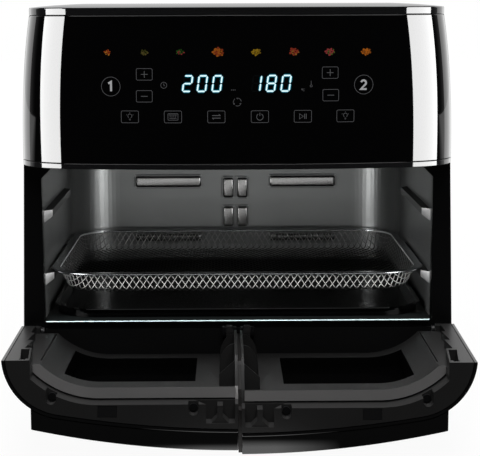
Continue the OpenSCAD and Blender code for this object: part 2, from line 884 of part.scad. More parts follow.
module door_frame() {
  y_pane = post_y - plug_in - pane_sink;
  strip_x = half_width - plug_side + 0.72 * plug_r;
  color("#2a2a2c") difference() {
    union() {
      difference() {
        door_solid(skin + gap);
        difference() {
          union() {
            translate([0, 0, door_bottom - 1]) linear_extrude(far) door_hollow();
            block(seam_x, plug_x, post_y - channel_in, post_y, door_bottom - 1, top_ledge - 2.5);
          }
          channel_ribs();
        }
        translate([0, 0, top_ledge]) linear_extrude(far) door_hollow(ledge_in);
        // the groove under the plug's end
        translate([0, 0, top_ledge - 2]) linear_extrude(2 + eps) difference() {
          door_hollow(ledge_in);
          door_hollow(ledge_in - groove_h);
        }
        rim_strip();
        // the shadow groove where the plug's curved end meets the strip
        block(strip_x, strip_x + 1.2, post_y - strip_in - 2, far, door_bottom + 5, top_ledge - 14);
        // the top of the seam's wall, which slopes down to the ledge
        from_side(-1, seam_x + eps) polygon([
          [post_y - 1, door_bottom - 1], [post_y - 1, door_bottom + 105],
          [post_y - plug_in, top_ledge - 3], [post_y - ledge_in, top_ledge],
          [post_y - ledge_in, door_top + 1], [far, door_top + 1], [far, door_bottom - 1],
        ]);
        end_pockets();
        rim_pockets();
      }
      hinge_eye(hinge_inner_x, 5);
      hinge_eye(hinge_outer_x, -2);
    }
    window_cut(0, y_pane, post_y);
    // a wider seat for the inner pane behind the window
    window_cut(pane_seat + gap, -far, y_pane + eps);
    // screw notches in the end face, open to the ledge
    for (x = screw_xs) translate([x, post_y - screw_in(x), door_top - 12]) {
      cylinder(r = 4.2, h = 20);
      translate([-4.2, 0, 0]) cube([8.4, 12, 20]);
    }
    // the seat of the magnet's strike
    translate([magnet_x, post_y - magnet_in, door_top - 1.2])
      block(-magnet_w / 2 - gap, magnet_w / 2 + gap, -magnet_d / 2 - gap, magnet_d / 2 + gap, 0, 5);
    hinge_bore();
  }
}

// An eye round the hinge pin, joined to the door's bottom edge below a depth
module hinge_eye(x, depth) {
  from_side(x - eye_w / 2, x + eye_w / 2) {
    translate([hinge_y, hinge_z]) circle(r = eye_r);
    translate([hinge_y - eye_r, hinge_z]) square([post_y - depth - hinge_y + eye_r, door_heel + 1]);
  }
}

module hinge_bore() {
  for (x = hinge_xs) translate([x - eye_w, hinge_y, hinge_z]) rotate([0, 90, 0])
    cylinder(r = pin_r + pin_clear, h = 2 * eye_w);
}

module door_handle() {
  z2 = door_top - handle_drop;
  z1 = z2 - handle_h;
  y_front = post_y - front_bow - handle_out;
  color("#070708") intersection() {
    difference() {
      translate([0, 0, z1]) linear_extrude(handle_h)
        translate([0, y_front + handle_r]) circle(r = handle_r, $fn = 480);
      // the bowed face of the door behind the handle
      door_solid(-gap, 0, far, -5);
      block(-5, far, post_y - 30, far, 0, far);
      // the finger groove behind the lip
      translate([0, 0, z1 - 1]) linear_extrude(handle_h - 5) intersection() {
        translate([0, y_front + handle_r])
          circle(r = handle_r - handle_lip, $fn = 480);
        translate([-5, -far]) square([handle_end - 5, 2 * far]);
      }
    }
    translate([seam_gap, y_front - 1, z1]) linear_extrude(handle_h)
      square([handle_end - seam_gap, far]);
  }
}

module door_strikes() {
  color("#9da0a2") translate([magnet_x, post_y - magnet_in, door_top - 1.2 + eps])
    block(-magnet_w / 2, magnet_w / 2, -magnet_d / 2, magnet_d / 2, 0, 1.1);
}

module door_screws() {
  color("#77797b") for (x = screw_xs)
    translate([x, post_y - screw_in(x), door_top - 12 + eps]) cylinder(r = 3.4, h = 2.6);
}

// ---- Basket and tray ----

module basket_plan(inset) {
  translate([0, post_y + basket_front + inset])
    rounded_rect(2 * (basket_half - inset), basket_depth - 2 * inset, basket_corner - inset);
}

module basket_rim() {
  color("#8f9496") translate([0, 0, rail_low + gap]) linear_extrude(2) difference() {
    basket_plan(0);
    basket_plan(basket_rim_w);
  }
}

// The space inside the basket's leaning walls, or with inset 0 the walls' outer form
module basket_form(inset, z1, z2) {
  slope = basket_lean / basket_drop;
  top = basket_rim_w - mesh_t + inset;
  hull() for (z = [z1, z2 - eps]) translate([0, 0, z]) linear_extrude(eps)
    basket_plan(top + (basket_drop - z) * slope);
}

// The woven floor as a flat net, inside leaning walls with a row of diamond openings
module basket_mesh() {
  hole = 8;
  straight_x = basket_half - basket_corner - hole;
  straight_y = basket_depth / 2 - basket_corner - hole;
  middle_y = post_y + basket_front + basket_depth / 2;
  cell = mesh_pitch / sqrt(2);
  net_x = basket_half - 22 - basket_lean;
  net_y = basket_depth / 2 - 18 - basket_lean;
  reach = ceil((net_x + net_y) / (2 * cell));
  color("#9a9fa1") translate([0, 0, rail_low + gap - basket_drop]) difference() {
    basket_form(0, 0, basket_drop - eps);
    basket_form(mesh_t, mesh_t, basket_drop + 1);
    for (x = [-straight_x:mesh_pitch * 1.25:straight_x])
      translate([x, 0, basket_drop / 2]) rotate([90, 45, 0])
        cube([hole, hole, far], center = true);
    for (y = [-straight_y:mesh_pitch * 1.25:straight_y])
      translate([0, middle_y + y, basket_drop / 2]) rotate([45, 0, 0])
        cube([far, hole, hole], center = true);
    translate([0, middle_y, -1]) linear_extrude(mesh_t + 2)
      for (i = [-reach:reach], j = [-reach:reach])
        let (x = (i - j) * cell, y = (i + j) * cell)
        if (abs(x) < net_x && abs(y) < net_y)
          translate([x, y]) rotate(45) square(mesh_pitch - mesh_bar, center = true);
  }
}

module tray_plan(inset) {
  translate([0, post_y + tray_front + inset])
    rounded_rect(2 * (tray_half - inset), tray_depth - 2 * inset, 40 - inset);
}

// A pressed tray with a rolled rim, two ridges on each side and a small upturned tab
module drip_tray() {
  z = floor_z + 0.8 + 0.2;
  rim = 3;
  tray_t = 1;
  y1 = post_y + tray_front;
  color("#101112") {
    translate([0, 0, z]) linear_extrude(tray_h) difference() {
      tray_plan(rim);
      tray_plan(rim + tray_t);
    }
    translate([0, 0, z]) linear_extrude(tray_t) tray_plan(rim);
    translate([0, 0, z + tray_h - tray_t]) linear_extrude(tray_t) difference() {
      tray_plan(0);
      tray_plan(rim + 0.1);
    }
    for (x = [tray_half - 67, tray_half - 25], s = [-1, 1])
      block(s * x - 1.5, s * x + 1.5, y1 + 14, y1 + tray_depth - 14, z + tray_t - eps,
        z + tray_t + 0.5);
    block(-6, 6, y1 + 8, y1 + 20, z + tray_t - eps, z + tray_t + 0.5);
  }
}

// ---- The whole oven ----

base_pan();
feet();
front_bezel();
sill_strip();
color("#17171a") side(-1) side_panel();  // left_side_panel
color("#17171a") side_panel();  // right_side_panel
rear_cover();
header_shell();
header_trim();
control_fascia();
top_cover();
door_magnets();
cavity_wrap();
cavity_floor();
cavity_ceiling();
side(-1) element();  // left_element
element();  // right_element
side(-1) guard();  // left_guard
guard();  // right_guard
guard_studs();
side(-1) motor();  // left_motor
motor();  // right_motor
motor_brackets();
side(-1) lamp();  // left_lamp
lamp();  // right_lamp
lamp_lenses();
heat_sensors();
door_switches();
control_board();
display_module();
power_board();
cord_gland();
hinge_brackets();
hinge_pins();
side(-1) impeller();  // left_fan_impeller
side(-1) axle();  // left_fan_axle
side(-1) cooler();  // left_fan_cooler
impeller();  // right_fan_impeller
axle();  // right_fan_axle
cooler();  // right_fan_cooler
open_door(left_open) side(-1) door_shell();  // left_door_shell
open_door(left_open) side(-1) door_frame();  // left_door_frame
open_door(left_open) side(-1) door_inner_pane();  // left_door_inner_pane
open_door(left_open) side(-1) door_outer_pane();  // left_door_outer_pane
open_door(left_open) side(-1) door_handle();  // left_door_handle
open_door(left_open) side(-1) door_strikes();  // left_door_strikes
open_door(left_open) side(-1) door_screws();  // left_door_screws
open_door(right_open) door_shell();  // right_door_shell
open_door(right_open) door_frame();  // right_door_frame
open_door(right_open) door_inner_pane();  // right_door_inner_pane
open_door(right_open) door_outer_pane();  // right_door_outer_pane
open_door(right_open) door_handle();  // right_door_handle
open_door(right_open) door_strikes();  // right_door_strikes
open_door(right_open) door_screws();  // right_door_screws
basket_rim();
basket_mesh();
drip_tray();
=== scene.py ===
import json
import math
import random

import bmesh
import bpy
from mathutils import Euler, Matrix, Vector
from mathutils.bvhtree import BVHTree


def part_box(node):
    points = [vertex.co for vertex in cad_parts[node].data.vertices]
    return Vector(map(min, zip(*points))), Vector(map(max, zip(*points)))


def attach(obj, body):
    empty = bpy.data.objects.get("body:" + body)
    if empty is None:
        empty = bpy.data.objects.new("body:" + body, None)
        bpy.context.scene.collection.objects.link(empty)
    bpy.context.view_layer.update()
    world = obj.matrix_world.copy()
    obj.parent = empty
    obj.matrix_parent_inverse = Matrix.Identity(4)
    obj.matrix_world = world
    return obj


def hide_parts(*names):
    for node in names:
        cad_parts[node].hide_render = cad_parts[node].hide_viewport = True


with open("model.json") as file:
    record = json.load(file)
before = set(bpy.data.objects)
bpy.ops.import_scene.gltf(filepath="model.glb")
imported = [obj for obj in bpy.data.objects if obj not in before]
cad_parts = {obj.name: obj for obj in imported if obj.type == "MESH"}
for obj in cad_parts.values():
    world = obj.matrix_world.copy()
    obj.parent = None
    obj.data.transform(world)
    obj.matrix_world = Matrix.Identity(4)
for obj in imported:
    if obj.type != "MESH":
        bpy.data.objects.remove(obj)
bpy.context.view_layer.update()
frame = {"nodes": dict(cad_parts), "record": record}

# ---- The studio ----
# A white table with a white background beyond it, and a dark room behind the camera, so that the
# gloss stays black. A tall softbox on each side puts a long white streak on the header's corners,
# and the lamps for the header and for the cavity reach those pieces alone.

DOWN, YAW, ROLL = 8.75, -0.59, -0.22
camera_data = bpy.data.cameras.new("camera")
camera_data.lens = 106.2
camera = bpy.data.objects.new("camera", camera_data)
camera.location = (-0.011, -1.361, 0.362)
tilt = Euler((math.radians(90 - DOWN), 0, math.radians(YAW))).to_matrix()
camera.rotation_euler = (tilt @ Matrix.Rotation(math.radians(ROLL), 3, "Z")).to_euler()
bpy.context.scene.collection.objects.link(camera)
bpy.context.scene.camera = camera
bpy.context.scene.view_settings.view_transform = "Standard"


def softbox(name, place, aim, size, watts, roll=0, glossy=True):
    lamp = bpy.data.lights.new(name, "AREA")
    lamp.shape = "RECTANGLE"
    lamp.size, lamp.size_y = size
    lamp.energy = watts
    box = bpy.data.objects.new(name, lamp)
    box.location = place
    turn = (Vector(aim) - Vector(place)).to_track_quat("-Z", "Y").to_matrix()
    box.rotation_euler = (turn @ Matrix.Rotation(math.radians(roll), 3, "Z")).to_euler()
    box.visible_camera = False
    box.visible_glossy = glossy
    bpy.context.scene.collection.objects.link(box)
    return box


header_gloss = bpy.data.collections.new("header_gloss")
lit_inside = bpy.data.collections.new("lit_inside")
FOR_ALL = (
    ("top_softbox", (0, -0.1, 1.7), (0, 0, 0.1), (1.3, 1.0), 26, True),
    ("front_softbox", (0.1, -2.0, 1.7), (0, 0, 0.15), (1.2, 0.4), 11, False),
)
FOR_SOME = (
    ("left_streak", (-1.051, -0.589, 0.42), (-0.161, -0.13, 0.3), (0.8, 1.2), 60, 22, header_gloss),
    ("right_streak", (1.07, -0.556, 0.42), (0.163, -0.13, 0.3), (1.1, 1.2), 82, -14, header_gloss),
    ("left_rim", (-1.1, 0.85, 0.4), (-0.18, -0.1, 0.3), (1.0, 1.4), 5, 0, header_gloss),
    ("right_rim", (1.1, 0.85, 0.4), (0.18, -0.1, 0.3), (1.0, 1.4), 5, 0, header_gloss),
    ("left_inside", (-1.06, -0.93, 0.45), (-0.157, -0.145, 0.3), (0.86, 1.5), 80, 0, lit_inside),
    ("right_inside", (1.0, -1.0, 0.45), (0.157, -0.145, 0.3), (0.86, 1.5), 75, 0, lit_inside),
    ("low_inside", (0, -1.0, 0.07), (0, 0.1, 0.16), (1.2, 0.12), 2.0, 0, lit_inside),
)
for name, place, aim, size, watts, glossy in FOR_ALL:
    softbox(name, place, aim, size, watts, glossy=glossy)
for name, place, aim, size, watts, roll, receivers in FOR_SOME:
    flagged = softbox(name, place, aim, size, watts, roll)
    flagged.light_linking.receiver_collection = receivers


def wired(tree, kind, inputs=(), **settings):
    """Adds a node. Each of its inputs gets a plain value, or another node's output."""
    made = tree.nodes.new(kind)
    for key, value in settings.items():
        setattr(made, key, value)
    for key, value in dict(inputs).items():
        if isinstance(value, bpy.types.NodeSocket):
            tree.links.new(value, made.inputs[key])
        else:
            made.inputs[key].default_value = value
    return made


def ramp(tree, value, low, high, start=0.0, end=1.0, kind="LINEAR"):
    """A value that goes from start to end while another goes from low to high."""
    return wired(tree, "ShaderNodeMapRange", {
        "Value": value, "From Min": low, "From Max": high, "To Min": start, "To Max": end,
    }, interpolation_type=kind).outputs["Result"]


def maths(tree, operation, *values):
    return wired(tree, "ShaderNodeMath", enumerate(values), operation=operation).outputs[0]


def split_point(tree, space):
    point = wired(tree, "ShaderNodeTexCoord").outputs[space]
    return wired(tree, "ShaderNodeSeparateXYZ", {0: point}).outputs


def background_seen(tree):
    """One where the camera sees the background, straight or through something clear."""
    path = wired(tree, "ShaderNodeLightPath").outputs
    return maths(tree, "MAXIMUM", path["Is Camera Ray"], path["Is Transmission Ray"])


def world_light():
    """White to the camera, and otherwise dark in front of the oven and bright behind it."""
    world = bpy.data.worlds.new("studio")
    bpy.context.scene.world = world
    world.use_nodes = True
    tree = world.node_tree
    tree.nodes.clear()
    room = ramp(tree, split_point(tree, "Generated")["Y"], 0.1, 1.0, 0.01, 0.7, "SMOOTHSTEP")
    strength = wired(tree, "ShaderNodeMix", {"Factor": background_seen(tree), "A": room, "B": 1.0})
    light = wired(tree, "ShaderNodeBackground",
                  {"Color": (1, 1, 1, 1), "Strength": strength.outputs["Result"]})
    wired(tree, "ShaderNodeOutputWorld", {"Surface": light.outputs[0]})


def studio_floor():
    """White to the camera. Gloss sees its far part, and a patch close in front of the handles."""
    mesh = bpy.data.meshes.new("table")
    mesh.from_pydata([(-6, -0.9, 0), (6, -0.9, 0), (6, 9, 0), (-6, 9, 0)], [], [(0, 1, 2, 3)])
    table = bpy.data.objects.new("table", mesh)
    bpy.context.scene.collection.objects.link(table)
    paper = bpy.data.materials.new("table_paper")
    paper.use_nodes = True
    tree = paper.node_tree
    point = split_point(tree, "Object")
    across, along = maths(tree, "ABSOLUTE", point["X"]), point["Y"]
    patch = maths(tree, "MULTIPLY", ramp(tree, across, 0.085, 0.03),
                  ramp(tree, along, -0.29, -0.27, end=2.4))
    in_gloss = maths(tree, "MULTIPLY_ADD", patch, ramp(tree, along, -0.235, -0.243),
                     ramp(tree, along, 0.2, 0.8, end=0.9))
    glossy_ray = wired(tree, "ShaderNodeLightPath").outputs["Is Glossy Ray"]
    glow = maths(tree, "MULTIPLY_ADD", background_seen(tree), ramp(tree, along, 0.5, 2.0, 0.95),
                 maths(tree, "MULTIPLY", glossy_ray, in_gloss))
    shader = tree.nodes["Principled BSDF"]
    for socket, value in (("Base Color", (0.06, 0.06, 0.06, 1)), ("Roughness", 0.9),
                          ("Specular IOR Level", 0.0), ("Emission Color", (1, 1, 1, 1))):
        shader.inputs[socket].default_value = value
    tree.links.new(glow, shader.inputs["Emission Strength"])
    mesh.materials.append(paper)


world_light()
studio_floor()

# ---- Base pan and feet ----
# The base is a moulded tray of black plastic with vents in its floor, on four rubber feet.
# Its moulding has a fine spark-eroded texture that takes the shine off.


def surface_grain():
    """A group that gives moulded, painted and rolled surfaces their grain."""
    group = bpy.data.node_groups.new("surface_grain", "ShaderNodeTree")
    face = group.interface
    for label, value in (("Grain", 900.0), ("Depth", 0.1), ("Rough", 0.4), ("Uneven", 0.08)):
        face.new_socket(label, in_out="INPUT", socket_type="NodeSocketFloat").default_value = value
    stretch = face.new_socket("Stretch", in_out="INPUT", socket_type="NodeSocketVector")
    stretch.default_value = (1, 1, 1)
    for label, kind in (("Roughness", "Float"), ("Normal", "Vector"), ("Mask", "Float")):
        face.new_socket(label, in_out="OUTPUT", socket_type="NodeSocket" + kind)
    start = wired(group, "NodeGroupInput").outputs
    point = wired(group, "ShaderNodeTexCoord").outputs["Object"]
    stretched = wired(group, "ShaderNodeVectorMath", {0: point, 1: start["Stretch"]},
                      operation="MULTIPLY")
    fine = wired(group, "ShaderNodeTexNoise",
                 {"Vector": stretched.outputs[0], "Scale": start["Grain"], "Detail": 2.0})
    broad = wired(group, "ShaderNodeTexNoise",
                  {"Vector": point, "Scale": 14.0, "Detail": 3.0}).outputs[0]
    bump = wired(group, "ShaderNodeBump",
                 {"Height": fine.outputs[0], "Strength": start["Depth"], "Distance": 0.0002})
    rough = maths(group, "MULTIPLY_ADD", maths(group, "SUBTRACT", broad, 0.5), start["Uneven"],
                  start["Rough"])
    wired(group, "NodeGroupOutput", {"Roughness": rough, "Normal": bump.outputs[0], "Mask": broad})
    return group


grain_group = surface_grain()


def finish(name, colour, rough, metal=0.0, grain=900.0, depth=0.1, uneven=0.08, mottle=0.15,
           stretch=(1, 1, 1), **sockets):
    """A material whose colour and roughness vary a little with its grain."""
    material = bpy.data.materials.new(name)
    material.use_nodes = True
    tree = material.node_tree
    shader = tree.nodes["Principled BSDF"]
    for socket, value in dict(sockets, Metallic=metal).items():
        shader.inputs[socket.replace("_", " ")].default_value = value
    grained = wired(tree, "ShaderNodeGroup", {
        "Grain": grain, "Depth": depth, "Rough": rough, "Uneven": uneven, "Stretch": stretch,
    }, node_tree=grain_group).outputs
    darker, lighter = ((*[c * share for c in colour], 1) for share in (1 - mottle, 1 + mottle))
    tint = wired(tree, "ShaderNodeMix", {"Factor": grained["Mask"], "A": darker, "B": lighter},
                 data_type="RGBA")
    tree.links.new(tint.outputs["Result"], shader.inputs["Base Color"])
    tree.links.new(grained["Roughness"], shader.inputs["Roughness"])
    if depth:
        tree.links.new(grained["Normal"], shader.inputs["Normal"])
    return material


def dress(material, *nodes):
    """Gives CAD nodes their finish."""
    for node in nodes:
        mesh = frame["nodes"][node].data
        mesh.materials.clear()
        mesh.materials.append(material)


def body_of(node):
    return next(b for b, nodes in frame["record"]["behaviour"]["bodies"].items() if node in nodes)


def slot_of(node):
    return next(s["material_slot"] for s in frame["record"]["subparts"] if s["node"] == node)


def mesh_from(name, work):
    mesh = bpy.data.meshes.new(name)
    work.to_mesh(mesh)
    work.free()
    return mesh


def fitted(name, mesh, body, slot, *finishes):
    """Puts a mesh in the scene as a piece that rides on a body."""
    for material in finishes:
        mesh.materials.append(material)
    piece = bpy.data.objects.new(name, mesh)
    bpy.context.scene.collection.objects.link(piece)
    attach(piece, body)
    return piece


def shade(piece, angle):
    """Smooth shading that keeps edges sharper than the angle."""
    with bpy.context.temp_override(object=piece, selected_objects=[piece],
                                   selected_editable_objects=[piece], active_object=piece):
        bpy.ops.object.shade_smooth_by_angle(angle=math.radians(angle))


def round_edges(piece, radius, angle, segments=2, corners="MITER_SHARP"):
    """Rounds edges sharper than the angle."""
    round_off = piece.modifiers.new("round_off", "BEVEL")
    round_off.width = radius
    round_off.segments = segments
    round_off.limit_method = "ANGLE"
    round_off.angle_limit = math.radians(angle)
    round_off.miter_outer = corners


def even_out(piece, angle):
    """Smooth shading with broad faces flat, and edges sharper than the angle kept."""
    shade(piece, angle)
    even = piece.modifiers.new("even_shading", "WEIGHTED_NORMAL")
    even.weight = 100
    even.keep_sharp = True


def merged_copy(node, name):
    """A CAD node's mesh, copied and joined up from its loose triangles."""
    mesh = frame["nodes"][node].data.copy()
    mesh.name = name
    mesh.materials.clear()
    work = bmesh.new()
    work.from_mesh(mesh)
    bmesh.ops.remove_doubles(work, verts=work.verts, dist=2e-6)
    return mesh, work


def softened(node, radius, *finishes, choose=None, split=(), segments=2):
    """A copy of a CAD node with its sharp edges rounded, standing for that node.

    The copy can be cut at planes, and choose gives each face the number of its finish."""
    mesh, work = merged_copy(node, node + "_moulded")
    bmesh.ops.dissolve_limit(work, angle_limit=math.radians(0.5), verts=work.verts,
                             edges=work.edges)
    for place, across in split:
        bmesh.ops.bisect_plane(work, geom=work.verts[:] + work.edges[:] + work.faces[:], dist=1e-6,
                               plane_co=place, plane_no=across)
    work.normal_update()
    for face in work.faces:
        face.material_index = choose(face.calc_center_median(), face.normal) if choose else 0
    work.to_mesh(mesh)
    work.free()
    piece = fitted(node + "_moulded", mesh, body_of(node), slot_of(node), *finishes)
    round_edges(piece, radius, 32, segments, "MITER_ARC")
    even_out(piece, 40)
    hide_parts(node)
    return piece


moulding = finish("black_moulding", (0.0055, 0.0055, 0.006), 0.42, depth=0.15)
rubber = finish("foot_rubber", (0.008, 0.008, 0.008), 0.75, grain=500, depth=0.25)
pan_moulding = finish("pan_moulding", (0.015, 0.015, 0.0155), 0.42, depth=0.15)
softened("base_pan", 0.0012, pan_moulding)
dress(rubber, "feet", "cord_gland")

# ---- Front bezel and sill ----
# A black moulded frame stands round the cavity's mouth, and carries the doors' hinges below.
# A steel strip covers the joint between the cavity's floor and the frame. Its front edge, which
# laps over the frame, is painted bright as a highlight, and the rest of the strip dark as shade.

bezel_moulding = finish("bezel_moulding", (0.005, 0.005, 0.0055), 0.34, depth=0.12)
softened("front_bezel", 0.0009, bezel_moulding, segments=3)
# The strip's front edge takes a painted highlight, and its rest painted shade.
sill_steel = finish("sill_steel", (0.44, 0.56, 0.56), 0.42, metal=0.35, grain=200,
                    stretch=(0.05, 1, 1))
sill_shade = finish("sill_shade", (0.004, 0.005, 0.005), 0.5, grain=200, Specular_IOR_Level=0.1)
SILL_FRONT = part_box("sill_strip")[0].y
SILL_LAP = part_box("front_bezel")[0].y + 0.001
BRIGHT_END = SILL_FRONT + 0.0015
sill = softened("sill_strip", 0.0003, sill_steel, sill_shade,
                split=[((0, BRIGHT_END, 0), (0, 1, 0))],
                choose=lambda centre, normal: int(centre.y > BRIGHT_END))
for corner in sill.data.vertices:
    if corner.co.y < SILL_FRONT + 0.001:
        corner.co.y = SILL_LAP
lit_inside.objects.link(sill)

# ---- Covers ----
# The side panels and the rear cover are satin black mouldings. They stand a hair apart from
# their neighbours.

cover_paint = finish("cover_moulding", (0.006, 0.006, 0.0066), 0.36, grain=700, depth=0.08)
for cover in ("left_side_panel", "right_side_panel", "rear_cover"):
    softened(cover, 0.0007, cover_paint)

# ---- Header ----
# A moulded shell carries the glossy parts that show: a low trim, the tall bowed sheet with the
# controls, and the domed top with vents along its back edge.

gloss = finish("gloss_black", (0.0014, 0.0014, 0.0015), 0.05, grain=40, depth=0.0, uneven=0.02)
sheet_gloss = finish("gloss_fascia", (0.0002, 0.0002, 0.00022), 0.03, grain=40, depth=0.0,
                     uneven=0.015)
softened("header_shell", 0.0006, moulding)
dress(finish("magnet_ferrite", (0.03, 0.03, 0.033), 0.5), "door_magnets")
CORNER_R, BOW, CORNER_Y, POST_Y = 0.052, 0.0573, -0.0841, -0.091
HEADER_HALF, HEADER_TAPER, HEADER_Z, HEADER_TOP, SKIN = 0.193, 0.0085, 0.226, 0.358, 0.003
BACK_Y = 0.239
CORNER_STEPS, FRONT_STEPS = 32, 64


def header_half(z):
    rise = max(0.0, (z - HEADER_Z) / (HEADER_TOP - HEADER_Z))
    return HEADER_HALF - HEADER_TAPER * rise ** 2.5


def header_line(half, inset=0.0):
    """The header's outline from above, from one side round the bowed front to the other.

    With it come the distances along the wall from each side's end, by which edges are cut."""
    side = half - CORNER_R
    rise = BOW + CORNER_Y - POST_Y
    radius = (side * side + rise * rise - CORNER_R * CORNER_R) / (2 * (rise - CORNER_R))
    centre_y = POST_Y - BOW + radius
    meet = math.atan2(CORNER_Y - centre_y, -side)
    line, run = [], []
    for k in range(CORNER_STEPS):
        angle = math.pi + (meet + math.pi) * k / CORNER_STEPS
        line.append((-side + (CORNER_R - inset) * math.cos(angle),
                     CORNER_Y + (CORNER_R - inset) * math.sin(angle)))
        run.append(CORNER_R * (meet + math.pi) * k / CORNER_STEPS)
    half_steps = FRONT_STEPS // 2
    for k in range(half_steps):
        angle = meet + (-math.pi / 2 - meet) * k / half_steps
        line.append(((radius - inset) * math.cos(angle),
                     centre_y + (radius - inset) * math.sin(angle)))
        run.append(run[CORNER_STEPS - 1] + radius * (angle - meet) + 0.001)
    line.append((0.0, POST_Y - BOW + inset))
    run.append(1.0)
    line += [(-x, y) for x, y in reversed(line[:-1])]
    return line, run + list(reversed(run[:-1]))


replaced = []


def header_made(name, node, work, material, radius):
    piece = fitted(name, mesh_from(name, work), "oven", slot_of(node), material)
    header_gloss.objects.link(piece)
    round_edges(piece, radius, 40)
    even_out(piece, 35)
    if node not in replaced:
        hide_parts(node)
        replaced.append(node)
    return piece


def header_piece(name, node, lower, upper, material, columns=None, levels=1):
    """A wall of the header's skin between two heights, which may change along the wall."""
    run = header_line(HEADER_HALF)[1]
    work = bmesh.new()
    walls = []
    for inset in (0.0, SKIN):
        wall = []
        for column in columns or range(len(run)):
            low, high = lower(run[column]), upper(run[column])
            stack = []
            for level in range(levels + 1):
                z = low + (high - low) * level / levels
                x, y = header_line(header_half(min(z, HEADER_TOP)), inset)[0][column]
                stack.append(work.verts.new((x, y, z)))
            wall.append(stack)
        walls.append(wall)
    outer, inner = walls

    def quad(*corners):
        work.faces.new([wall[column][level] for wall, column, level in corners])

    for k in range(len(outer) - 1):
        for n in range(levels):
            quad((outer, k, n), (outer, k + 1, n), (outer, k + 1, n + 1), (outer, k, n + 1))
            quad((inner, k, n), (inner, k, n + 1), (inner, k + 1, n + 1), (inner, k + 1, n))
        for n in (0, levels):
            quad((outer, k, n), (outer, k + 1, n), (inner, k + 1, n), (inner, k, n))
    for k in (0, -1):
        for n in range(levels):
            quad((outer, k, n), (outer, k, n + 1), (inner, k, n + 1), (inner, k, n))
    bmesh.ops.recalc_face_normals(work, faces=work.faces)
    return header_made(name, node, work, material, 0.0005)


TRIM_TOP, SHEET_TOP, SHEET_CORNER = 0.2307, 0.3577, 0.016
TRIM_SEAM, CHEEK_SEAM, CHEEK_TIP = 0.0003, 0.0005, 0.0035


def sheet_edge(run):
    """The sheet's upper edge, which drops in a quarter circle at each end."""
    short = max(0.0, SHEET_CORNER - run)
    return SHEET_TOP - SHEET_CORNER + math.sqrt(max(0.0, SHEET_CORNER ** 2 - short ** 2))


header_piece("header_band", "header_trim", lambda run: HEADER_Z, lambda run: TRIM_TOP, gloss)
header_piece("control_sheet", "control_fascia", lambda run: TRIM_TOP + TRIM_SEAM, sheet_edge,
             sheet_gloss, levels=28)
runs = header_line(HEADER_HALF)[1]
cheek = [k for k, run in enumerate(runs[:CORNER_STEPS]) if run < SHEET_CORNER - CHEEK_TIP]
for name, columns in (("left_cheek", cheek), ("right_cheek", [len(runs) - 1 - k for k in cheek])):
    header_piece(name, "control_fascia", lambda run: sheet_edge(run) + CHEEK_SEAM,
                 lambda run: SHEET_TOP, gloss, columns=columns, levels=6)

# How far in and how high each line of the top's profile is, from its edge to the dome.
TOP_PROFILE = ((0, 0.358), (0, 0.3641), (0.0006, 0.3646), (0.003, 0.3649), (0.010, 0.3657),
               (0.022, 0.3667), (0.036, 0.3675), (0.048, 0.368))
TOP_WALL = 0.0026
VENTS_X, VENTS_Y, VENT_Z = range(-110, 111, 22), (57.5, 43.5), 0.366
VENT_SIZE = (0.014, 0.005, 0.02)


def top_blank():
    """The top before its vents are cut: a low band with a crisp edge, and a shallow dome."""
    half = header_half(HEADER_TOP)
    work = bmesh.new()
    rings = []
    for wall in (0.0, TOP_WALL):
        for inset, z in reversed(TOP_PROFILE) if wall else TOP_PROFILE:
            depth = inset + wall
            line = header_line(half, depth)[0]
            line += [(half - depth, BACK_Y - depth), (depth - half, BACK_Y - depth)]
            height = z - wall if z > HEADER_TOP else z
            rings.append([work.verts.new((x, y, height)) for x, y in line])
    for k, (ring, after) in enumerate(zip(rings, rings[1:] + rings[:1])):
        if k == len(TOP_PROFILE) - 1:
            work.faces.new(ring)
            work.faces.new(list(reversed(after)))
            continue
        for n, corner in enumerate(ring):
            beside = (n + 1) % len(ring)
            work.faces.new((corner, ring[beside], after[beside], after[n]))
    bmesh.ops.recalc_face_normals(work, faces=work.faces)
    return mesh_from("top_blank", work)


def vent_slots():
    slots = bmesh.new()
    for x in VENTS_X:
        for y in VENTS_Y:
            place = Matrix.Translation((x / 1000, BACK_Y - y / 1000, VENT_Z))
            bmesh.ops.create_cube(slots, size=1, matrix=place @ Matrix.Diagonal((*VENT_SIZE, 1)))
    return mesh_from("vent_slots", slots)


def top_moulding():
    """Cuts the vents, and parts the dome from the band, which alone takes the streaks."""
    blank, cutter = (bpy.data.objects.new(mesh.name, mesh) for mesh in (top_blank(), vent_slots()))
    for tool in (blank, cutter):
        bpy.context.scene.collection.objects.link(tool)
    cut = blank.modifiers.new("vents", "BOOLEAN")
    cut.object = cutter
    cut.operation = "DIFFERENCE"
    plain = bpy.data.meshes.new_from_object(
        blank.evaluated_get(bpy.context.evaluated_depsgraph_get()))
    for tool in (blank, cutter):
        bpy.data.objects.remove(tool)
    dome_half = header_half(HEADER_TOP) - 0.002
    for name, upward in (("top_moulding", False), ("top_dome", True)):
        work = bmesh.new()
        work.from_mesh(plain)
        for face in list(work.faces):
            place = face.calc_center_median()
            on_dome = face.normal.z > 0.9 and abs(place.x) < dome_half and place.y < BACK_Y
            if on_dome != upward:
                work.faces.remove(face)
        loose = [corner for corner in work.verts if not corner.link_faces]
        bmesh.ops.delete(work, geom=loose, context="VERTS")
        piece = header_made(name, "top_cover", work, gloss, 0.0006)
    header_gloss.objects.unlink(piece)


top_moulding()

# ---- Panel print and display ----
# The sheet is printed from behind: small pictures of food, two zone numbers and keys in thin
# frames. The display shines through it in two groups of slanted figures.

fascia_mesh = frame["nodes"]["control_fascia"].data
fascia_face = BVHTree.FromPolygons([v.co for v in fascia_mesh.vertices],
                                   [p.vertices for p in fascia_mesh.polygons])
PRINT_PROUD, PRINT_SHIFT = 0.00008, 0.7


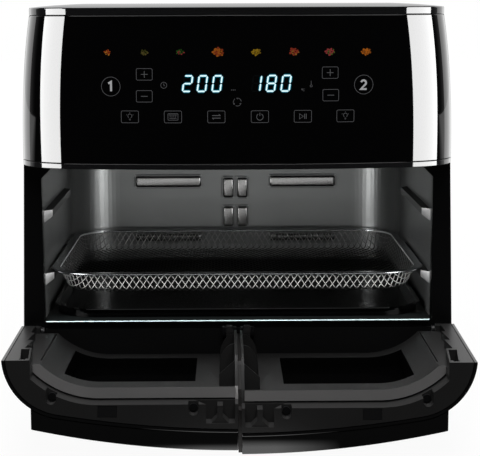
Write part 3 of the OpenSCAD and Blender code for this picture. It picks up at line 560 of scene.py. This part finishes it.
def printed(name, outlines, *finishes, proud=PRINT_PROUD):
    """Lays flat outlines, given in millimetres across and up the front, on the bowed sheet."""
    work = bmesh.new()
    for outline in outlines:
        points, index = outline if isinstance(outline[1], int) else (outline, 0)
        corners = []
        for x, z in points:
            x += PRINT_SHIFT
            hit = fascia_face.ray_cast(Vector((x / 1000, -0.4, z / 1000)), Vector((0, 1, 0)))[0]
            corners.append(work.verts.new(hit - Vector((0, proud, 0))))
        face = work.faces.new(corners)
        face.normal_update()
        if face.normal.y > 0:
            face.normal_flip()
        face.material_index = index
    bmesh.ops.triangulate(work, faces=work.faces)
    piece = fitted(name, mesh_from(name, work), "oven", "display", *finishes)
    thick = piece.modifiers.new("ink", "SOLIDIFY")
    thick.thickness = proud + 0.00004


def arc(x, z, radius, start=0, end=360, steps=24):
    turns = [math.radians(start + (end - start) * k / steps) for k in range(steps + 1)]
    return [(x + radius * math.cos(turn), z + radius * math.sin(turn)) for turn in turns]


def stroke(points, width):
    """Quads along a bent line, mitred where it turns."""
    closed = math.dist(points[0], points[-1]) < 1e-6
    edges = []
    count = len(points)
    for k, (x, z) in enumerate(points):
        before = points[k - 1] if k else (points[-2] if closed else None)
        after = points[k + 1] if k < count - 1 else (points[1] if closed else None)
        normals = []
        legs = [(a, b) for a, b in ((before, (x, z)), ((x, z), after)) if a and b]
        for (x1, z1), (x2, z2) in legs:
            length = math.dist((x1, z1), (x2, z2))
            normals.append(((z1 - z2) / length, (x2 - x1) / length))
        nx, nz = sum(n[0] for n in normals), sum(n[1] for n in normals)
        size = math.hypot(nx, nz)
        nx, nz = nx / size, nz / size
        reach = width / 2 / max(0.5, nx * normals[0][0] + nz * normals[0][1])
        edges.append(((x + nx * reach, z + nz * reach), (x - nx * reach, z - nz * reach)))
    return [(a[0], a[1], b[1], b[0]) for a, b in zip(edges, edges[1:])]


def frame_line(x, z, width, height, radius=1.2):
    """The points of a rounded frame."""
    points = []
    for turn, (sx, sz) in enumerate(((1, 1), (-1, 1), (-1, -1), (1, -1))):
        points += arc(x + sx * (width / 2 - radius), z + sz * (height / 2 - radius), radius,
                      90 * turn, 90 * turn + 90, 4)
    return points + points[:1]


def ink(name, colour, glow, rough=0.3):
    """Print that is lit from behind: its own colour, with a little light of its own."""
    material = finish(name, [c * 0.5 for c in colour], rough, grain=300, depth=0.0, mottle=0.3)
    shader = material.node_tree.nodes["Principled BSDF"]
    shader.inputs["Emission Color"].default_value = (*colour, 1)
    shader.inputs["Emission Strength"].default_value = glow
    return material


# Keys and signs are thin grey lines, placed in millimetres across and up the front.
THIN, BOLD = 0.36, 0.5
ZONE_R = 8.1
ZONE_PLACES = ((-109.5, 297.6), (107.6, 298.4))
STEP_KEY = (13.7, 9.8)
PLUS_PLACES = ((-80.5, 308.0), (78.5, 308.8))
MINUS_PLACES = ((-80.7, 289.3), (79.1, 289.6))
SIGN_REACH, SIGN_GAP = 2.9, 0.26
KEY = (14.9, 10.2)
KEY_Z = 271.7
KEYS = (-93.4, -56.3, -19.1, 18.2, 55.1, 91.9)
LEFT_LAMP_X, RACK_X, SWAP_X, POWER_X, START_X, RIGHT_LAMP_X = KEYS
grey_lines = []


def line(points, width=THIN, x=0.0, z=0.0):
    """A line of the print, whose points are counted from a middle."""
    grey_lines.extend(stroke([(x + px, z + pz) for px, pz in points], width))


for x, z in ZONE_PLACES:
    line(arc(x, z, ZONE_R, steps=48))
for x, z in PLUS_PLACES + MINUS_PLACES:
    line(frame_line(x, z, *STEP_KEY))
    line([(-SIGN_REACH, 0), (SIGN_REACH, 0)], BOLD, x, z)
for x, z in PLUS_PLACES:
    for turn in (-1, 1):
        line([(0, turn * SIGN_REACH), (0, turn * SIGN_GAP)], BOLD, x, z)
for x in KEYS:
    line(frame_line(x, KEY_Z, *KEY))
# The lamp keys show a bulb with rays.
for x in (LEFT_LAMP_X, RIGHT_LAMP_X):
    line(arc(0, 0.7, 1.7, -60, 240, 14), THIN, x, KEY_Z)
    line([(-0.8, -1.9), (0.8, -1.9)], THIN, x, KEY_Z)
    line([(-0.6, -2.7), (0.6, -2.7)], THIN, x, KEY_Z)
    for angle in (20, 90, 160):
        line([arc(0, 0.7, reach, angle, angle, 1)[0] for reach in (2.5, 3.2)], THIN, x, KEY_Z)
# A rack with bars, two arrows that change places, a power sign, and start and pause.
line(frame_line(RACK_X, KEY_Z, 8.6, 5.6, 0.6))
line([(-3.6, 1.7), (3.6, 1.7)], THIN, RACK_X, KEY_Z)
for bar in (-2.4, -0.8, 0.8, 2.4):
    line([(bar, 1.3), (bar, -0.6)], THIN, RACK_X, KEY_Z)
line([(-3.0, -1.4), (3.0, -1.4)], THIN, RACK_X, KEY_Z)
for turn in (-1, 1):
    line([(-3.6, turn * 1.1), (3.6, turn * 1.1)], 0.6, SWAP_X, KEY_Z)
    line([(turn * 3.6, turn * 1.1), (turn * 2.0, turn * 2.3)], THIN, SWAP_X, KEY_Z)
line(arc(0, -0.2, 2.8, 120, 420, 24), BOLD, POWER_X, KEY_Z)
line([(0, 0.6), (0, 3.3)], BOLD, POWER_X, KEY_Z)
line([(-2.9, -2.2), (-2.9, 2.2), (0.4, 0), (-2.9, -2.2)], THIN, START_X, KEY_Z)
for bar in (1.5, 2.9):
    line([(bar, -2.2), (bar, 2.2)], 0.55, START_X, KEY_Z)
# Small signs beside the figures: a clock, a thermometer, turning arrows, degrees and dashes.
line(arc(-63.9, 298.7, 2.6))
line([(-63.9, 300.2), (-63.9, 298.7), (-62.8, 298.2)])
line([(62.2, 302.0), (62.2, 298.6)])
line(arc(62.2, 297.7, 0.9, steps=12))
for turn in (0, 120, 240):
    line(arc(-1.1, 284.3, 3.4, turn + 8, turn + 100, 8))
    line([arc(-1.1, 284.3, radius, turn + end, turn + end + 1, 1)[0]
          for radius, end in ((3.4, 100), (2.4, 80))])
line(arc(54.3, 294.9, 0.45, steps=8), 0.3)
line(arc(55.9, 294.3, 0.9, 50, 310, 8), 0.3)
for dash in (-6.4, -4.9, -3.4):
    line([(dash, 294.6), (dash + 0.8, 294.6)], 0.6)
printed("panel_lines", grey_lines, ink("line_ink", (0.10, 0.10, 0.105), 0.6))

# The two zone numbers, drawn as broad strokes.
zone_numbers = stroke([(-111.6, 300.2), (-109.3, 301.6), (-109.3, 293.6)], 1.7)
zone_numbers += stroke(arc(107.5, 299.9, 2.1, 165, -35, 12) + [(105.2, 294.5), (110.1, 294.5)], 1.6)
printed("zone_numbers", zone_numbers, ink("number_ink", (0.36, 0.36, 0.37), 0.8))

# Each bar's two ends, in columns and rows of the figure, and the bars of each digit.
BARS = {"a": ((0, 2), (1, 2)), "b": ((1, 2), (1, 1)), "c": ((1, 1), (1, 0)),
        "d": ((0, 0), (1, 0)), "e": ((0, 0), (0, 1)), "f": ((0, 1), (0, 2)),
        "g": ((0, 1), (1, 1))}
LIT = {0: "abcdef", 1: "bc", 2: "abged", 8: "abcdefg"}


def figure(left, digit, width=8.2, height=14.5, bottom=292.8, slant=0.14, thick=1.3, grow=0.0):
    """The lit bars of one seven-bar figure, which may be drawn fatter for their glow."""
    half = thick / 2 + grow
    shapes = []
    for name in LIT[digit]:
        ends = []
        for across, up in BARS[name]:
            ends.append((left + thick / 2 + across * (width - thick),
                         bottom + thick / 2 + up * (height - thick) / 2))
        (x1, z1), (x2, z2) = ends
        length = math.dist(*ends)
        ux, uz = (x2 - x1) / length, (z2 - z1) / length
        inset = 0.28 - grow * 0.6
        hexagon = []
        near, far = inset + half, length - inset - half
        for along, side in ((inset, 0), (near, half), (far, half), (length - inset, 0),
                            (far, -half), (near, -half)):
            px, pz = x1 + ux * along - uz * side, z1 + uz * along + ux * side
            hexagon.append((px + (pz - bottom) * slant, pz))
        shapes.append(hexagon)
    return shapes


figures, halo, unlit = [], [], []
FIGURE_PITCH = 12.6
for start, digits in ((-48.6, (2, 0, 0)), (10.3, (1, 8, 0))):
    for place, digit in enumerate(digits):
        left = start + FIGURE_PITCH * place
        figures += figure(left, digit)
        halo += figure(left, digit, grow=0.75)
        unlit += figure(left, 8)
printed("display_unlit", unlit, ink("unlit_bar", (0.002, 0.003, 0.0036), 0.4), proud=0.00004)
printed("display_glow", halo, ink("figure_glow", (0.0, 0.09, 0.14), 1.0), proud=0.00006)
printed("display_figures", figures, ink("figure_light", (0.72, 0.97, 1.0), 1.0), proud=0.0001)

# Each food picture is a small heap of pieces in two colours: its place, the colours, how many
# pieces and how wide a heap.
GOLDEN_TURN = 2.4
FOOD = (
    ((-112.1, 326.6), ((0.32, 0.05, 0.01), (0.42, 0.16, 0.02)), 6, 3.4),
    ((-80.3, 326.6), ((0.05, 0.05, 0.01), (0.09, 0.07, 0.02)), 8, 3.6),
    ((-49.6, 326.9), ((0.02, 0.07, 0.01), (0.22, 0.03, 0.03)), 7, 3.8),
    ((-17.2, 326.6), ((0.34, 0.09, 0.01), (0.2, 0.03, 0.01)), 10, 5.4),
    ((15.1, 326.6), ((0.30, 0.18, 0.01), (0.17, 0.1, 0.01)), 9, 4.2),
    ((47.5, 326.9), ((0.24, 0.03, 0.015), (0.28, 0.1, 0.02)), 8, 4.6),
    ((78.3, 326.6), ((0.28, 0.04, 0.04), (0.08, 0.1, 0.02)), 9, 4.6),
    ((109.4, 326.3), ((0.45, 0.12, 0.01), (0.25, 0.07, 0.01)), 9, 4.4),
)
picture_parts, picture_inks = [], []
for place, ((x, z), colours, count, spread) in enumerate(FOOD):
    chance = random.Random(place + 3)
    for colour in colours:
        picture_inks.append(ink("food_ink_%d" % len(picture_inks), colour, 0.45))
    for k in range(2 * count):
        turn = GOLDEN_TURN * k
        reach = spread * math.sqrt(k / (2 * count)) * 0.9
        radius = chance.uniform(0.6, 1.15) * spread / 4.4
        cx, cz = x + reach * math.cos(turn), z + 0.72 * reach * math.sin(turn)
        blob = [(cx + radius * chance.uniform(0.75, 1.2) * math.cos(math.radians(a)),
                 cz + 0.85 * radius * chance.uniform(0.75, 1.2) * math.sin(math.radians(a)))
                for a in range(0, 360, 40)]
        picture_parts.append((blob, 2 * place + int(k % 3 == 1)))
printed("food_pictures", picture_parts, *picture_inks)

# ---- Cavity ----
# The cavity is pressed from coated steel sheet: a wrap with rounded rear corners, rails on its
# sides and ribs on its back, and a floor and a ceiling. The rails and the creases round the ribs
# are painted dark as shade, and the rails' front ends painted bright as a highlight.

cavity_coat = finish("cavity_coat", (0.095, 0.098, 0.097), 0.32, metal=0.8, grain=1600, depth=0.1)
painted_crease_shade = finish("painted_crease_shade", (0.003, 0.003, 0.0032), 0.4, grain=1600, depth=0.1)
rail_end_highlight = finish("rail_end_highlight", (0.42, 0.42, 0.42), 0.4, metal=0.5, grain=1600, depth=0.1)
RAIL_IN, RAIL_OUT, RAIL_BACK = 0.171, 0.1777, 0.15


def rounded_wrap():
    """The wrap as one smooth skin, with its sharp edges kept."""
    mesh, work = merged_copy("cavity_wrap", "cavity_skin")
    work.normal_update()
    for face in work.faces:
        place = face.calc_center_median()
        # Rail faces take painted shade, and their front-facing ends a painted highlight.
        if RAIL_IN < abs(place.x) < RAIL_OUT and place.y < RAIL_BACK:
            face.material_index = 2 if face.normal.y < -0.3 else 1
    work.to_mesh(mesh)
    work.free()
    skin = fitted("cavity_skin", mesh, "oven", "coated_cavity", cavity_coat, painted_crease_shade, rail_end_highlight)
    even_out(skin, 30)
    for face in mesh.polygons:
        if max(abs(side) for side in face.normal) > 0.9999:
            face.use_smooth = False
    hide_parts("cavity_wrap")
    return skin


WALL_Y, FLOOR_Z, RIB_CORNER = 0.196, 0.080, 0.0022
RIBS = [(s * x1, s * x2, z1, z2) for s in (-1, 1) for x1, x2, z1, z2 in (
    (0.0011, 0.0144, 0.044, 0.068), (0.0011, 0.0144, 0.076, 0.100),
    (0.037, 0.111, 0.028, 0.037), (0.037, 0.111, 0.088, 0.102))]
# How far each line round a rib stands out from it, its depth, and one where it is painted as shade
# in the crease.
RIB_PROFILE = ((0.0008, 0.0001, 1), (0.0007, 0.0009, 1), (-0.0002, 0.0012, 0),
               (-0.0008, 0.0030, 0), (-0.0022, 0.0038, 0), (-0.0034, 0.0039, 0))


def pressed_ribs():
    """The ribs on the back wall, with sloping flanks that rise out of a crease painted dark as
    shade.
    """
    work = bmesh.new()
    for x1, x2, z1, z2 in RIBS:
        rings = []
        for grow, rise, crease in RIB_PROFILE:
            left, right = min(x1, x2) - grow, max(x1, x2) + grow
            low, high = FLOOR_Z + z1 - grow, FLOOR_Z + z2 + grow
            cut = RIB_CORNER + grow * 0.5
            outline = ((left + cut, low), (right - cut, low), (right, low + cut),
                       (right, high - cut), (right - cut, high), (left + cut, high),
                       (left, high - cut), (left, low + cut))
            rings.append(([work.verts.new((x, WALL_Y - rise, z)) for x, z in outline], crease))
        for (ring, crease), (after, _) in zip(rings, rings[1:]):
            for k in range(8):
                beside = (k + 1) % 8
                face = work.faces.new((ring[k], ring[beside], after[beside], after[k]))
                face.material_index = crease
        work.faces.new(rings[-1][0])
        work.faces.new(list(reversed(rings[0][0]))).material_index = 1
    bmesh.ops.recalc_face_normals(work, faces=work.faces)
    ribs = fitted("pressed_ribs", mesh_from("pressed_ribs", work), "oven", "coated_cavity",
                  rib_coat, painted_crease_shade)
    shade(ribs, 50)
    return ribs


rib_coat = finish("rib_coat", (0.12, 0.12, 0.118), 0.2, metal=0.9, grain=1600, depth=0.06)
dress(finish("cavity_floor_coat", (0.02, 0.021, 0.021), 0.4, metal=0.6, grain=1600, depth=0.1),
      "cavity_floor", "cavity_ceiling")
for piece in (rounded_wrap(), pressed_ribs()):
    lit_inside.objects.link(piece)

# ---- Heat, fans and lamps ----
# Under the ceiling of each zone an element coils inside a wire guard, below a pressed fan that
# shares its axle with a cooling fan above. A small lamp behind glass lights each zone.

wire_steel = finish("wire_steel", (0.5, 0.51, 0.52), 0.22, metal=1.0, grain=400)
dull_steel = finish("dull_steel", (0.3, 0.31, 0.32), 0.4, metal=1.0)
dress(wire_steel, "left_guard", "right_guard", "guard_studs")
dress(finish("element_steel", (0.16, 0.15, 0.14), 0.45, metal=1.0, mottle=0.35), "left_element",
      "right_element")
fan_sheet = finish("fan_aluminium", (0.55, 0.55, 0.56), 0.35, metal=1.0, grain=300,
                   stretch=(1, 1, 0.1))
cooler_moulding = finish("cooler_moulding", (0.02, 0.02, 0.021), 0.5)
axle_steel = finish("axle_steel", (0.45, 0.46, 0.47), 0.25, metal=1.0, grain=500,
                    stretch=(1, 1, 0.05))
for zone in ("left", "right"):
    dress(fan_sheet, zone + "_fan_impeller")
    dress(cooler_moulding, zone + "_fan_cooler")
    dress(axle_steel, zone + "_fan_axle")
dress(finish("motor_steel", (0.28, 0.28, 0.28), 0.38, metal=1.0, grain=200, stretch=(1, 1, 0.1)),
      "left_motor", "right_motor")
dress(dull_steel, "motor_brackets", "heat_sensors")
dress(finish("lamp_ceramic", (0.75, 0.72, 0.66), 0.6, grain=600), "left_lamp", "right_lamp")
dress(finish("lens_glass", (0.8, 0.82, 0.8), 0.12, grain=200, depth=0.3), "lamp_lenses")
dress(finish("switch_moulding", (0.5, 0.5, 0.48), 0.5), "door_switches")

# ---- Electronics ----
# The control board and the display sit behind the header's front, the power board behind the
# cavity. Both boards are green laminate.

board = finish("board_laminate", (0.01, 0.075, 0.03), 0.4, grain=250, mottle=0.4)
dress(board, "control_board", "power_board")
dress(finish("display_body", (0.02, 0.02, 0.022), 0.25), "display_module")

# ---- Hinges ----
# Each door turns on two steel pins between black painted lugs. The lugs stand on the frame,
# below the cavity's mouth.

dress(finish("hinge_paint", (0.012, 0.012, 0.013), 0.4), "hinge_brackets")
dress(finish("pin_steel", (0.2, 0.2, 0.21), 0.35, metal=1.0), "hinge_pins")

# ---- Drip tray ----
# A shallow pressed tray in black gloss enamel lies on the cavity's floor. A band along its front
# edge is painted light as a highlight.

enamel = finish("tray_enamel", (0.0022, 0.0022, 0.0024), 0.14, grain=120, depth=0.05,
                Specular_IOR_Level=0.12)
# The band along the tray's front edge is painted light as a highlight.
tray_edge_highlight = finish("tray_edge_highlight", (0.16, 0.16, 0.16), 0.3, metal=0.5, grain=120, depth=0.05)
tray_low, tray_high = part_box("drip_tray")
HIGHLIGHT_Z = tray_high.z - 0.0008
softened("drip_tray", 0.0004, enamel, tray_edge_highlight, split=[((0, 0, HIGHLIGHT_Z), (0, 0, 1))],
         choose=lambda centre, normal: int(normal.y < -0.9 and centre.z > HIGHLIGHT_Z
                                           and centre.y < tray_low.y + 0.001))

# ---- Basket ----
# The basket is a cloth of straight steel wires, in two slanting layers welded where they cross.
# It is pressed to shape from the flat and clamped in a flat steel rim.

rim_steel = finish("rim_steel", (0.32, 0.33, 0.34), 0.16, metal=1.0, grain=200)
# The rim's inner faces are painted bright as a highlight.
rim_edge_highlight = finish("rim_edge_highlight", (0.5, 0.51, 0.52), 0.3, metal=0.8, grain=200)
lit_inside.objects.link(softened("basket_rim", 0.0006, rim_steel, rim_edge_highlight,
                                 choose=lambda centre, normal: int(normal.x * centre.x < -0.05)))
WIRE_R = 0.00042
LAYER = WIRE_R * 0.97
PITCH = 0.0065
RISE = math.tan(math.radians(61))
LEAN = 0.009
BEND = 0.004
CLOTH_CORNER = 0.029


def wall_profile(height):
    """How far out and up the cloth is, at each distance past the floor's edge."""
    slope = math.atan2(height, LEAN)
    out, up, table = -BEND, 0.0, []
    step = 0.0002
    for k in range(200):
        table.append((out, up))
        share = min(1.0, max(0.0, (k * step) / (2 * BEND)))
        turn = slope * share * share * (3 - 2 * share)
        out += step * math.cos(turn)
        up += step * math.sin(turn)
        if up > height:
            break
    return table, step


def basket_cloth():
    """The middle lines of all the wires, as points and the edges between them."""
    low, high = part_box("basket_mesh")
    middle = (low + high) / 2
    floor_z = low.z + WIRE_R * 2
    table, step = wall_profile(high.z - floor_z - WIRE_R)
    half_x, half_y = ((size / 2 - LEAN - 0.001) for size in (high - low)[:2])
    limit = (len(table) - 2) * step - BEND

    def past_edge(u, v):
        qx = abs(u) - (half_x - CLOTH_CORNER)
        qy = abs(v) - (half_y - CLOTH_CORNER)
        if qx > 0 and qy > 0:
            reach = math.hypot(qx, qy)
            return reach - CLOTH_CORNER, (math.copysign(qx / reach, u),
                                          math.copysign(qy / reach, v))
        if qx > qy:
            return qx - CLOTH_CORNER, (math.copysign(1, u), 0)
        return qy - CLOTH_CORNER, (0, math.copysign(1, v))

    def placed(u, v, side):
        past, (nx, ny) = past_edge(u, v)
        if past <= -BEND:
            return Vector((middle.x + u, middle.y + v, floor_z + side * LAYER))
        k = min((past + BEND) / step, len(table) - 1.001)
        (out, up), (out2, up2) = table[int(k)], table[int(k) + 1]
        share = k - int(k)
        turn = math.atan2(up2 - up, out2 - out)
        out, up = out + (out2 - out) * share, up + (up2 - up) * share
        out -= side * LAYER * math.sin(turn)
        up += side * LAYER * math.cos(turn)
        return Vector((middle.x + u + nx * (out - past), middle.y + v + ny * (out - past),
                       floor_z + up))

    points, edges = [], []
    reach = 90
    for slant in (-1, 1):
        for run in range(-reach, reach + 1):
            wire = []
            for half in range(-2 * reach, 2 * reach + 1):
                u = (run + half / 2) * PITCH / 2
                v = slant * (run - half / 2) * PITCH / 2 * RISE
                wire.append((u, v, past_edge(u, v)[0]))
            inside = [k for k, knot in enumerate(wire) if knot[2] < limit]
            if len(inside) < 3:
                continue
            start = len(points)
            for k in [inside[0] - 1] + inside + [inside[-1] + 1]:
                u, v, past = wire[k]
                if past >= limit:
                    near = wire[inside[0] if k < inside[0] else inside[-1]]
                    share = (limit - near[2]) / (past - near[2])
                    u, v = near[0] + (u - near[0]) * share, near[1] + (v - near[1]) * share
                points.append(placed(u, v, -slant))
            edges += [(k, k + 1) for k in range(start, len(points) - 1)]
    return points, edges


def wire_tree(material):
    """Gives each path in the mesh the body of a round wire."""
    tree = bpy.data.node_groups.new("woven_wire", "GeometryNodeTree")
    face = tree.interface
    face.new_socket("Paths", in_out="INPUT", socket_type="NodeSocketGeometry")
    radius = face.new_socket("Wire Radius", in_out="INPUT", socket_type="NodeSocketFloat")
    sides = face.new_socket("Wire Sides", in_out="INPUT", socket_type="NodeSocketInt")
    face.new_socket("Wires", in_out="OUTPUT", socket_type="NodeSocketGeometry")
    start = wired(tree, "NodeGroupInput").outputs
    curve = wired(tree, "GeometryNodeMeshToCurve", {0: start["Paths"]})
    ring = wired(tree, "GeometryNodeCurvePrimitiveCircle",
                 {"Radius": start["Wire Radius"], "Resolution": start["Wire Sides"]})
    body = wired(tree, "GeometryNodeCurveToMesh", {
        "Curve": curve.outputs[0], "Profile Curve": ring.outputs["Curve"], "Fill Caps": True})
    smooth = wired(tree, "GeometryNodeSetShadeSmooth", {0: body.outputs[0]})
    real = wired(tree, "GeometryNodeRealizeInstances", {0: smooth.outputs[0]})
    paint = wired(tree, "GeometryNodeSetMaterial", {0: real.outputs[0], "Material": material})
    wired(tree, "NodeGroupOutput", {0: paint.outputs[0]})
    return tree, radius.identifier, sides.identifier


def wire_finish():
    """Bright wire on the front wall, with painted shade on the floor and towards the back."""
    material = finish("basket_wire", (0.66, 0.66, 0.65), 0.3, metal=0.75, grain=400)
    tree = material.node_tree
    colour = tree.nodes["Principled BSDF"].inputs["Base Color"]
    point = split_point(tree, "Object")
    bright = maths(tree, "MULTIPLY", ramp(tree, point["Z"], 0.1055, 0.1085),
                   ramp(tree, point["Y"], -0.06, -0.03, 1.0, 0.22))
    # The dark colour is painted shade, mixed in on the floor and towards the back.
    painted_shade = wired(tree, "ShaderNodeMix", {
        "Factor": bright, "A": (0.008, 0.008, 0.0075, 1), "B": colour.links[0].from_socket,
    }, data_type="RGBA")
    tree.links.new(painted_shade.outputs["Result"], colour)
    return material


tree, radius_id, sides_id = wire_tree(wire_finish())
paths = bpy.data.meshes.new("basket_paths")
paths.from_pydata(*basket_cloth(), [])
maker = bpy.data.objects.new("basket_paths", paths)
bpy.context.scene.collection.objects.link(maker)
weave = maker.modifiers.new("weave", "NODES")
weave.node_group = tree
weave[radius_id] = WIRE_R
weave[sides_id] = 5
cloth = bpy.data.meshes.new_from_object(
    maker.evaluated_get(bpy.context.evaluated_depsgraph_get()))
maker.modifiers.clear()
bpy.data.objects.remove(maker)
basket_net = fitted("basket_net", cloth, "basket", "wire_steel")
lit_inside.objects.link(basket_net)
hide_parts("basket_mesh")

# ---- Doors ----
# Each door is a glossy outer skin on a deep moulded frame, with a pane inside and out of the
# window, a bowed handle along its free edge, steel strikes for the magnets and four screws.
# A thin dark lip on the right door fills the gap between the two; it stands in for the shade
# seen through the gap.

door_gloss = finish("door_gloss", (0.0022, 0.0022, 0.0024), 0.07, grain=40, depth=0.0, uneven=0.03)
door_moulding = finish("door_moulding", (0.034, 0.0335, 0.0335), 0.36, grain=1100, depth=0.14,
                       Specular_IOR_Level=0.35)
# The crest along each frame is the same moulding, painted lighter as a highlight.
crest_highlight = finish("crest_highlight", (0.34, 0.333, 0.333), 0.4, grain=1100, depth=0.14)
recess_shade = finish("window_recess", (0.002, 0.002, 0.002), 0.3)
pane = finish("pane_glass", (0.0015, 0.0015, 0.0016), 0.05, grain=30, depth=0.0, uneven=0.03)
strike_steel = finish("strike_steel", (0.05, 0.05, 0.052), 0.45, metal=0.8)
screw_steel = finish("screw_steel", (0.035, 0.035, 0.037), 0.4, metal=0.8)
CREST_Y, CREST_Z, RECESS_EDGE = -0.2288, 0.045, 0.002


def frame_part(centre, normal, low, high):
    """Which part of a door's frame a face is: 0 for most, 1 in the window, 2 on the crest, which is
    painted light as a highlight.
    """
    if normal.y < -0.9 and abs(centre.y - CREST_Y) < 0.0013 and centre.z > CREST_Z:
        return 2
    in_window = all(low[k] - RECESS_EDGE < centre[k] < high[k] + RECESS_EDGE for k in (0, 1))
    return int(in_window and abs(normal.z) < 0.4)


for door in ("left_door", "right_door"):
    low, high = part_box(door + "_inner_pane")
    softened(door + "_frame", 0.0007, door_moulding, recess_shade, crest_highlight,
             choose=lambda centre, normal: frame_part(centre, normal, low, high))
    softened(door + "_shell", 0.0005, door_gloss)
    softened(door + "_handle", 0.0007, door_gloss)
    dress(pane, door + "_inner_pane", door + "_outer_pane")
    dress(strike_steel, door + "_strikes")
    dress(screw_steel, door + "_screws")

LIP_SIDES = (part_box("left_door_frame")[1].x + 0.00015, 0.0016)
LIP_PROBE_X, LIP_STEP = 0.0022, 0.003
LIP_TOP_GAP, LIP_BOTTOM_GAP = 0.0025, 0.0012


def gap_shade_lip():
    """Follows the right door's edge, a little inside its upper and lower faces."""
    solids = []
    for node in ("right_door_frame", "right_door_shell", "right_door_handle"):
        mesh = frame["nodes"][node].data
        solids.append(BVHTree.FromPolygons([v.co for v in mesh.vertices],
                                           [p.vertices for p in mesh.polygons]))

    def heights(y, start_z, way):
        hits = [t.ray_cast(Vector((LIP_PROBE_X, y, start_z)), Vector((0, 0, way)))[0]
                for t in solids]
        return [hit.z for hit in hits if hit]

    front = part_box("right_door_handle")[0].y
    stations = []
    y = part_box("right_door_frame")[1].y - 0.012
    while y > front + 0.0015:
        if heights(y, 0.3, -1):
            stations.append((y, max(heights(y, 0.3, -1)) - LIP_TOP_GAP,
                             min(heights(y, -0.1, 1)) + LIP_BOTTOM_GAP))
        y -= LIP_STEP
    work = bmesh.new()
    rows = [[[work.verts.new((x, y, (top, bottom)[row])) for y, top, bottom in stations]
             for row in (0, 1)] for x in LIP_SIDES]
    (top_a, bottom_a), (top_b, bottom_b) = rows
    for k in range(len(stations) - 1):
        for one, other in ((top_a, bottom_a), (bottom_b, top_b), (top_b, top_a),
                           (bottom_a, bottom_b)):
            work.faces.new((one[k], one[k + 1], other[k + 1], other[k]))
    for k in (0, -1):
        work.faces.new((top_a[k], bottom_a[k], bottom_b[k], top_b[k]))
    bmesh.ops.recalc_face_normals(work, faces=work.faces)
    # The dark lip is painted shade for the gap between the doors.
    fitted("gap_shade_lip", mesh_from("gap_shade_lip", work), "right_door", "door_moulding",
           finish("gap_shade_fill", (0.011, 0.0095, 0.009), 0.6, grain=500, depth=0.2))


gap_shade_lip()
